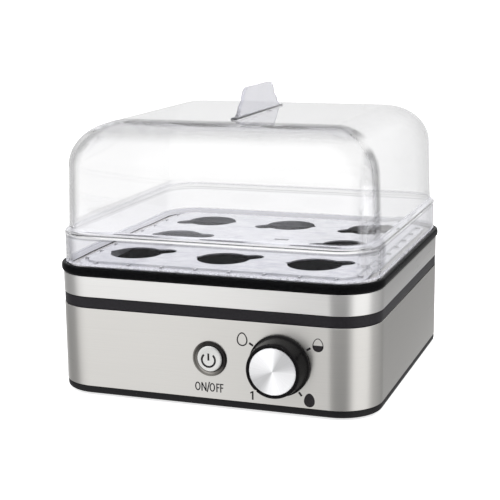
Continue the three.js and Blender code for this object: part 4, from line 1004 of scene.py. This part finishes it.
def build_marks():
    soft = print_plate(egg_points(3.25, 4.1), egg_points(3.25, 4.1, -0.75))
    mark("mark_soft_egg", [soft], 22.9, 43.9)
    shell = print_plate(egg_points(3.2, 4.0), egg_points(3.2, 4.0, -0.5))
    fill = print_plate([p for p in egg_points(3.2, 4.0, -0.1, 96) if p[1] < -0.3])
    mark("mark_medium_egg", [shell, fill], 68.3, 44.2)
    mark("mark_hard_egg", [print_plate(egg_points(3.2, 4.1))], 63.2, 11.1)
    for name, angle in (("soft", 148.0), ("medium", 32.5), ("hard", -53.0)):
        across, up = math.cos(math.radians(angle)), math.sin(math.radians(angle))
        tick = stroke(TICK_START * across, TICK_START * up, TICK_END * across, TICK_END * up, 1.25)
        mark("tick_" + name, [print_plate(tick)], KNOB_X, CONTROL_Z)
    one = [(-0.5, -2.6), (0.5, -2.6), (0.5, 2.6), (-0.2, 2.6), (-1.5, 1.9), (-1.5, 0.95), (-0.5, 1.45)]
    mark("mark_one", [print_plate(one)], 29.0, 10.5)
    mark("mark_on_off", on_off(), 1.9, 12.9)
    arc = [math.radians(POWER_GAP + (360 - 2 * POWER_GAP) * i / 40 + 90) for i in range(41)]
    loop = [(POWER_OUTER * math.cos(a), POWER_OUTER * math.sin(a)) for a in arc]
    loop += [(POWER_INNER * math.cos(a), POWER_INNER * math.sin(a)) for a in arc[::-1]]
    power = [print_plate(loop), print_plate(stroke(0, -0.3, 0, 4.0, 1.15))]
    mark("mark_power", power, BUTTON_X - 0.6, CONTROL_Z - 0.8, "button", POWER_LIFT)


# The CAD's own solids that stay visible

# Material and slot, by the start of the name
CARRIED = {
    "base_screw": (screw_steel, "bright_steel"), "ring_screw": (screw_steel, "bright_steel"),
    "bowl_nut": (screw_steel, "bright_steel"), "clip_nut": (screw_steel, "bright_steel"),
    "bowl_seal": (silicone, "silicone"), "diffuser_plate": (aluminium, "aluminium"),
    "heating_element": (element_steel, "steel"), "thermostat": (ceramic, "ceramic"),
    "thermal_fuse": (aluminium, None), "sensor_clip": (screw_steel, None),
    "bowl_strap": (screw_steel, None), "control_carrier": (carrier_black, None),
    "button_spring": (screw_steel, None), "push_switch": (carrier_black, None),
    "potentiometer_shaft": (aluminium, None), "potentiometer_nut": (screw_steel, None),
    "potentiometer": (aluminium, None), "control_board": (board_green, "board_green"),
    "relay": (relay_blue, None), "buzzer": (carrier_black, None),
    "capacitor": (bakelite, None), "terminal_block": (ceramic, None),
}


def dress_carried():
    """Gives each of them a material and slightly eased edges."""
    for name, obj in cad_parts.items():
        if obj.hide_render:
            continue
        key = next(k for k in sorted(CARRIED, key=len, reverse=True) if name.startswith(k))
        material, slot = CARRIED[key]
        dress(obj, material)
        ease = obj.modifiers.new("ease", "BEVEL")
        ease.width = 0.12 * MM
        ease.segments = 2
        ease.limit_method = "ANGLE"
        ease.angle_limit = math.radians(50)


def squeeze_spring():
    """Gives the coil spring under the button a mesh of its own."""
    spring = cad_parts["button_spring"]
    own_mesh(spring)


# Stage, light and camera

FLOOR = 30000.0
LAMP_STRENGTH, LAMP_ANGLE, LAMP_TILT = 0.5, 14, (-14, 6)
CAMERA_AIM = (-6.62, CENTRE_Y, 73.85)
CAMERA_AZIMUTH, CAMERA_ELEVATION, CAMERA_ROLL = 19.569, 12.273, -0.686
CAMERA_DISTANCE = 822.98
SENSOR, FOCAL_PIXELS, IMAGE_PIXELS = 36.0, 1268.78, 500


def build_stage():
    n = Nodes("studio_floor")
    speck = n.noise(60.0, detail=2.0)
    base = n.mix(n.span(speck, 0.0, 1.0), (0.80, 0.80, 0.80, 1), (0.84, 0.84, 0.84, 1))
    material = n.surface(n.glowing(n.new("ShaderNodeBsdfDiffuse", {"Color": base}), 0.75))
    corners = [(-FLOOR, -FLOOR, 0), (FLOOR, -FLOOR, 0), (FLOOR, FLOOR, 0), (-FLOOR, FLOOR, 0)]
    floor = make_mesh("studio_floor", (corners, [(0, 1, 2, 3)]))
    floor.data.materials.append(material)
    floor.visible_glossy = False
    floor.visible_transmission = False


# Brightness round the part, at angles in degrees from the front towards the right

STUDIO = ((-180, 0.95), (-150, 0.90), (-132, 0.62), (-118, 0.36), (-100, 0.31), (-73, 0.36), (-60, 0.68),
          (-46, 0.84), (-30, 0.90), (-17, 0.94), (-14, 0.31), (30, 0.28), (41, 0.55), (52, 0.93),
          (90, 0.96), (105, 0.53), (130, 0.41), (150, 0.32), (168, 0.29), (180, 0.95))
BEHIND = ((-180, 1.035), (-145, 1.035), (-134, 0.85), (-116, 0.76), (-96, 0.92), (-40, 0.97), (0, 0.98),
          (60, 0.96), (100, 0.90), (114, 0.76), (128, 0.80), (145, 0.86), (168, 0.88), (180, 1.03))
GLINTS = ((-180, 1.0), (-110, 0.70), (-60, 0.65), (-40, 0.12), (0, 0.12), (60, 0.75), (120, 0.75),
          (180, 1.0))


def build_world():
    """Soft studio surroundings, with bright boxes and dark gaps round the part."""
    n = Nodes("studio", "World")
    bpy.context.scene.world = n.owner
    x, y, z = n.axes(n.new("ShaderNodeTexCoord").outputs["Generated"])
    azimuth = n.total(n.math("DIVIDE", n.math("ARCTAN2", x, n.product(y, -1.0)), 2 * math.pi), 0.5)

    def round_the_part(stops):
        return n.ramp(azimuth, *[(0.5 + degrees / 360.0, level) for degrees, level in stops])

    rays = n.new("ShaderNodeLightPath").outputs
    lit = n.mix(n.rise(z, 0.25, 0.75, smooth=True), round_the_part(STUDIO), (1.6, 1.6, 1.63, 1))
    seen = n.mix(rays["Is Transmission Ray"], round_the_part(GLINTS), round_the_part(BEHIND))
    seen = n.mix(n.rise(z, 0.06, 0.35, smooth=True), seen, WHITE)
    level = n.ramp(n.total(n.product(z, 0.5), 0.5), (0.0, 0.7), (0.06, 1.0), (0.9, 1.0), (1.0, 0.9))
    seen = n.mix(1.0, seen, level, "MULTIPLY")
    clear = n.most(rays["Is Transmission Ray"], rays["Is Singular Ray"])
    colour = n.mix(rays["Is Camera Ray"], n.mix(clear, lit, seen), WHITE)
    n.surface(n.new("ShaderNodeBackground", {"Color": colour, "Strength": 1.0}))


def build_top_lamp():
    """A soft lamp overhead. It whitens the tray and leaves the metal to the surroundings."""
    data = bpy.data.lights.new("top_lamp", "SUN")
    data.energy = LAMP_STRENGTH
    data.angle = math.radians(LAMP_ANGLE)
    lamp = add_object("top_lamp", data)
    lamp.rotation_euler = (math.radians(LAMP_TILT[0]), math.radians(LAMP_TILT[1]), 0)
    lamp.visible_glossy = False
    lamp.visible_transmission = False


def build_camera():
    azimuth, elevation = math.radians(CAMERA_AZIMUTH), math.radians(CAMERA_ELEVATION)
    away = Vector((math.sin(azimuth) * math.cos(elevation), -math.cos(azimuth) * math.cos(elevation),
                   math.sin(elevation)))
    data = bpy.data.cameras.new("camera")
    data.sensor_width = SENSOR
    data.lens = FOCAL_PIXELS / IMAGE_PIXELS * SENSOR
    data.clip_start, data.clip_end = 0.05, 100.0
    camera = add_object("camera", data)
    place = Matrix.Translation(Vector(CAMERA_AIM) * MM + away * CAMERA_DISTANCE * MM)
    turn = (-away).to_track_quat("-Z", "Y").to_matrix().to_4x4()
    camera.matrix_world = place @ turn @ Matrix.Rotation(math.radians(CAMERA_ROLL), 4, "Z")
    bpy.context.scene.camera = camera


def set_light_paths():
    scene = bpy.context.scene
    scene.view_settings.view_transform = "Standard"
    scene.view_settings.look = "None"
    paths = scene.cycles
    paths.max_bounces = 24
    paths.transmission_bounces = 24
    paths.transparent_max_bounces = 24
    paths.glossy_bounces = 8
    paths.diffuse_bounces = 4
    paths.caustics_refractive = False
    paths.caustics_reflective = False


build_hood()
build_tray()
build_body()
build_pan()
build_bowl()
build_controls()
build_marks()
dress_carried()
squeeze_spring()
build_stage()
build_world()
build_top_lamp()
build_camera()
set_light_paths()
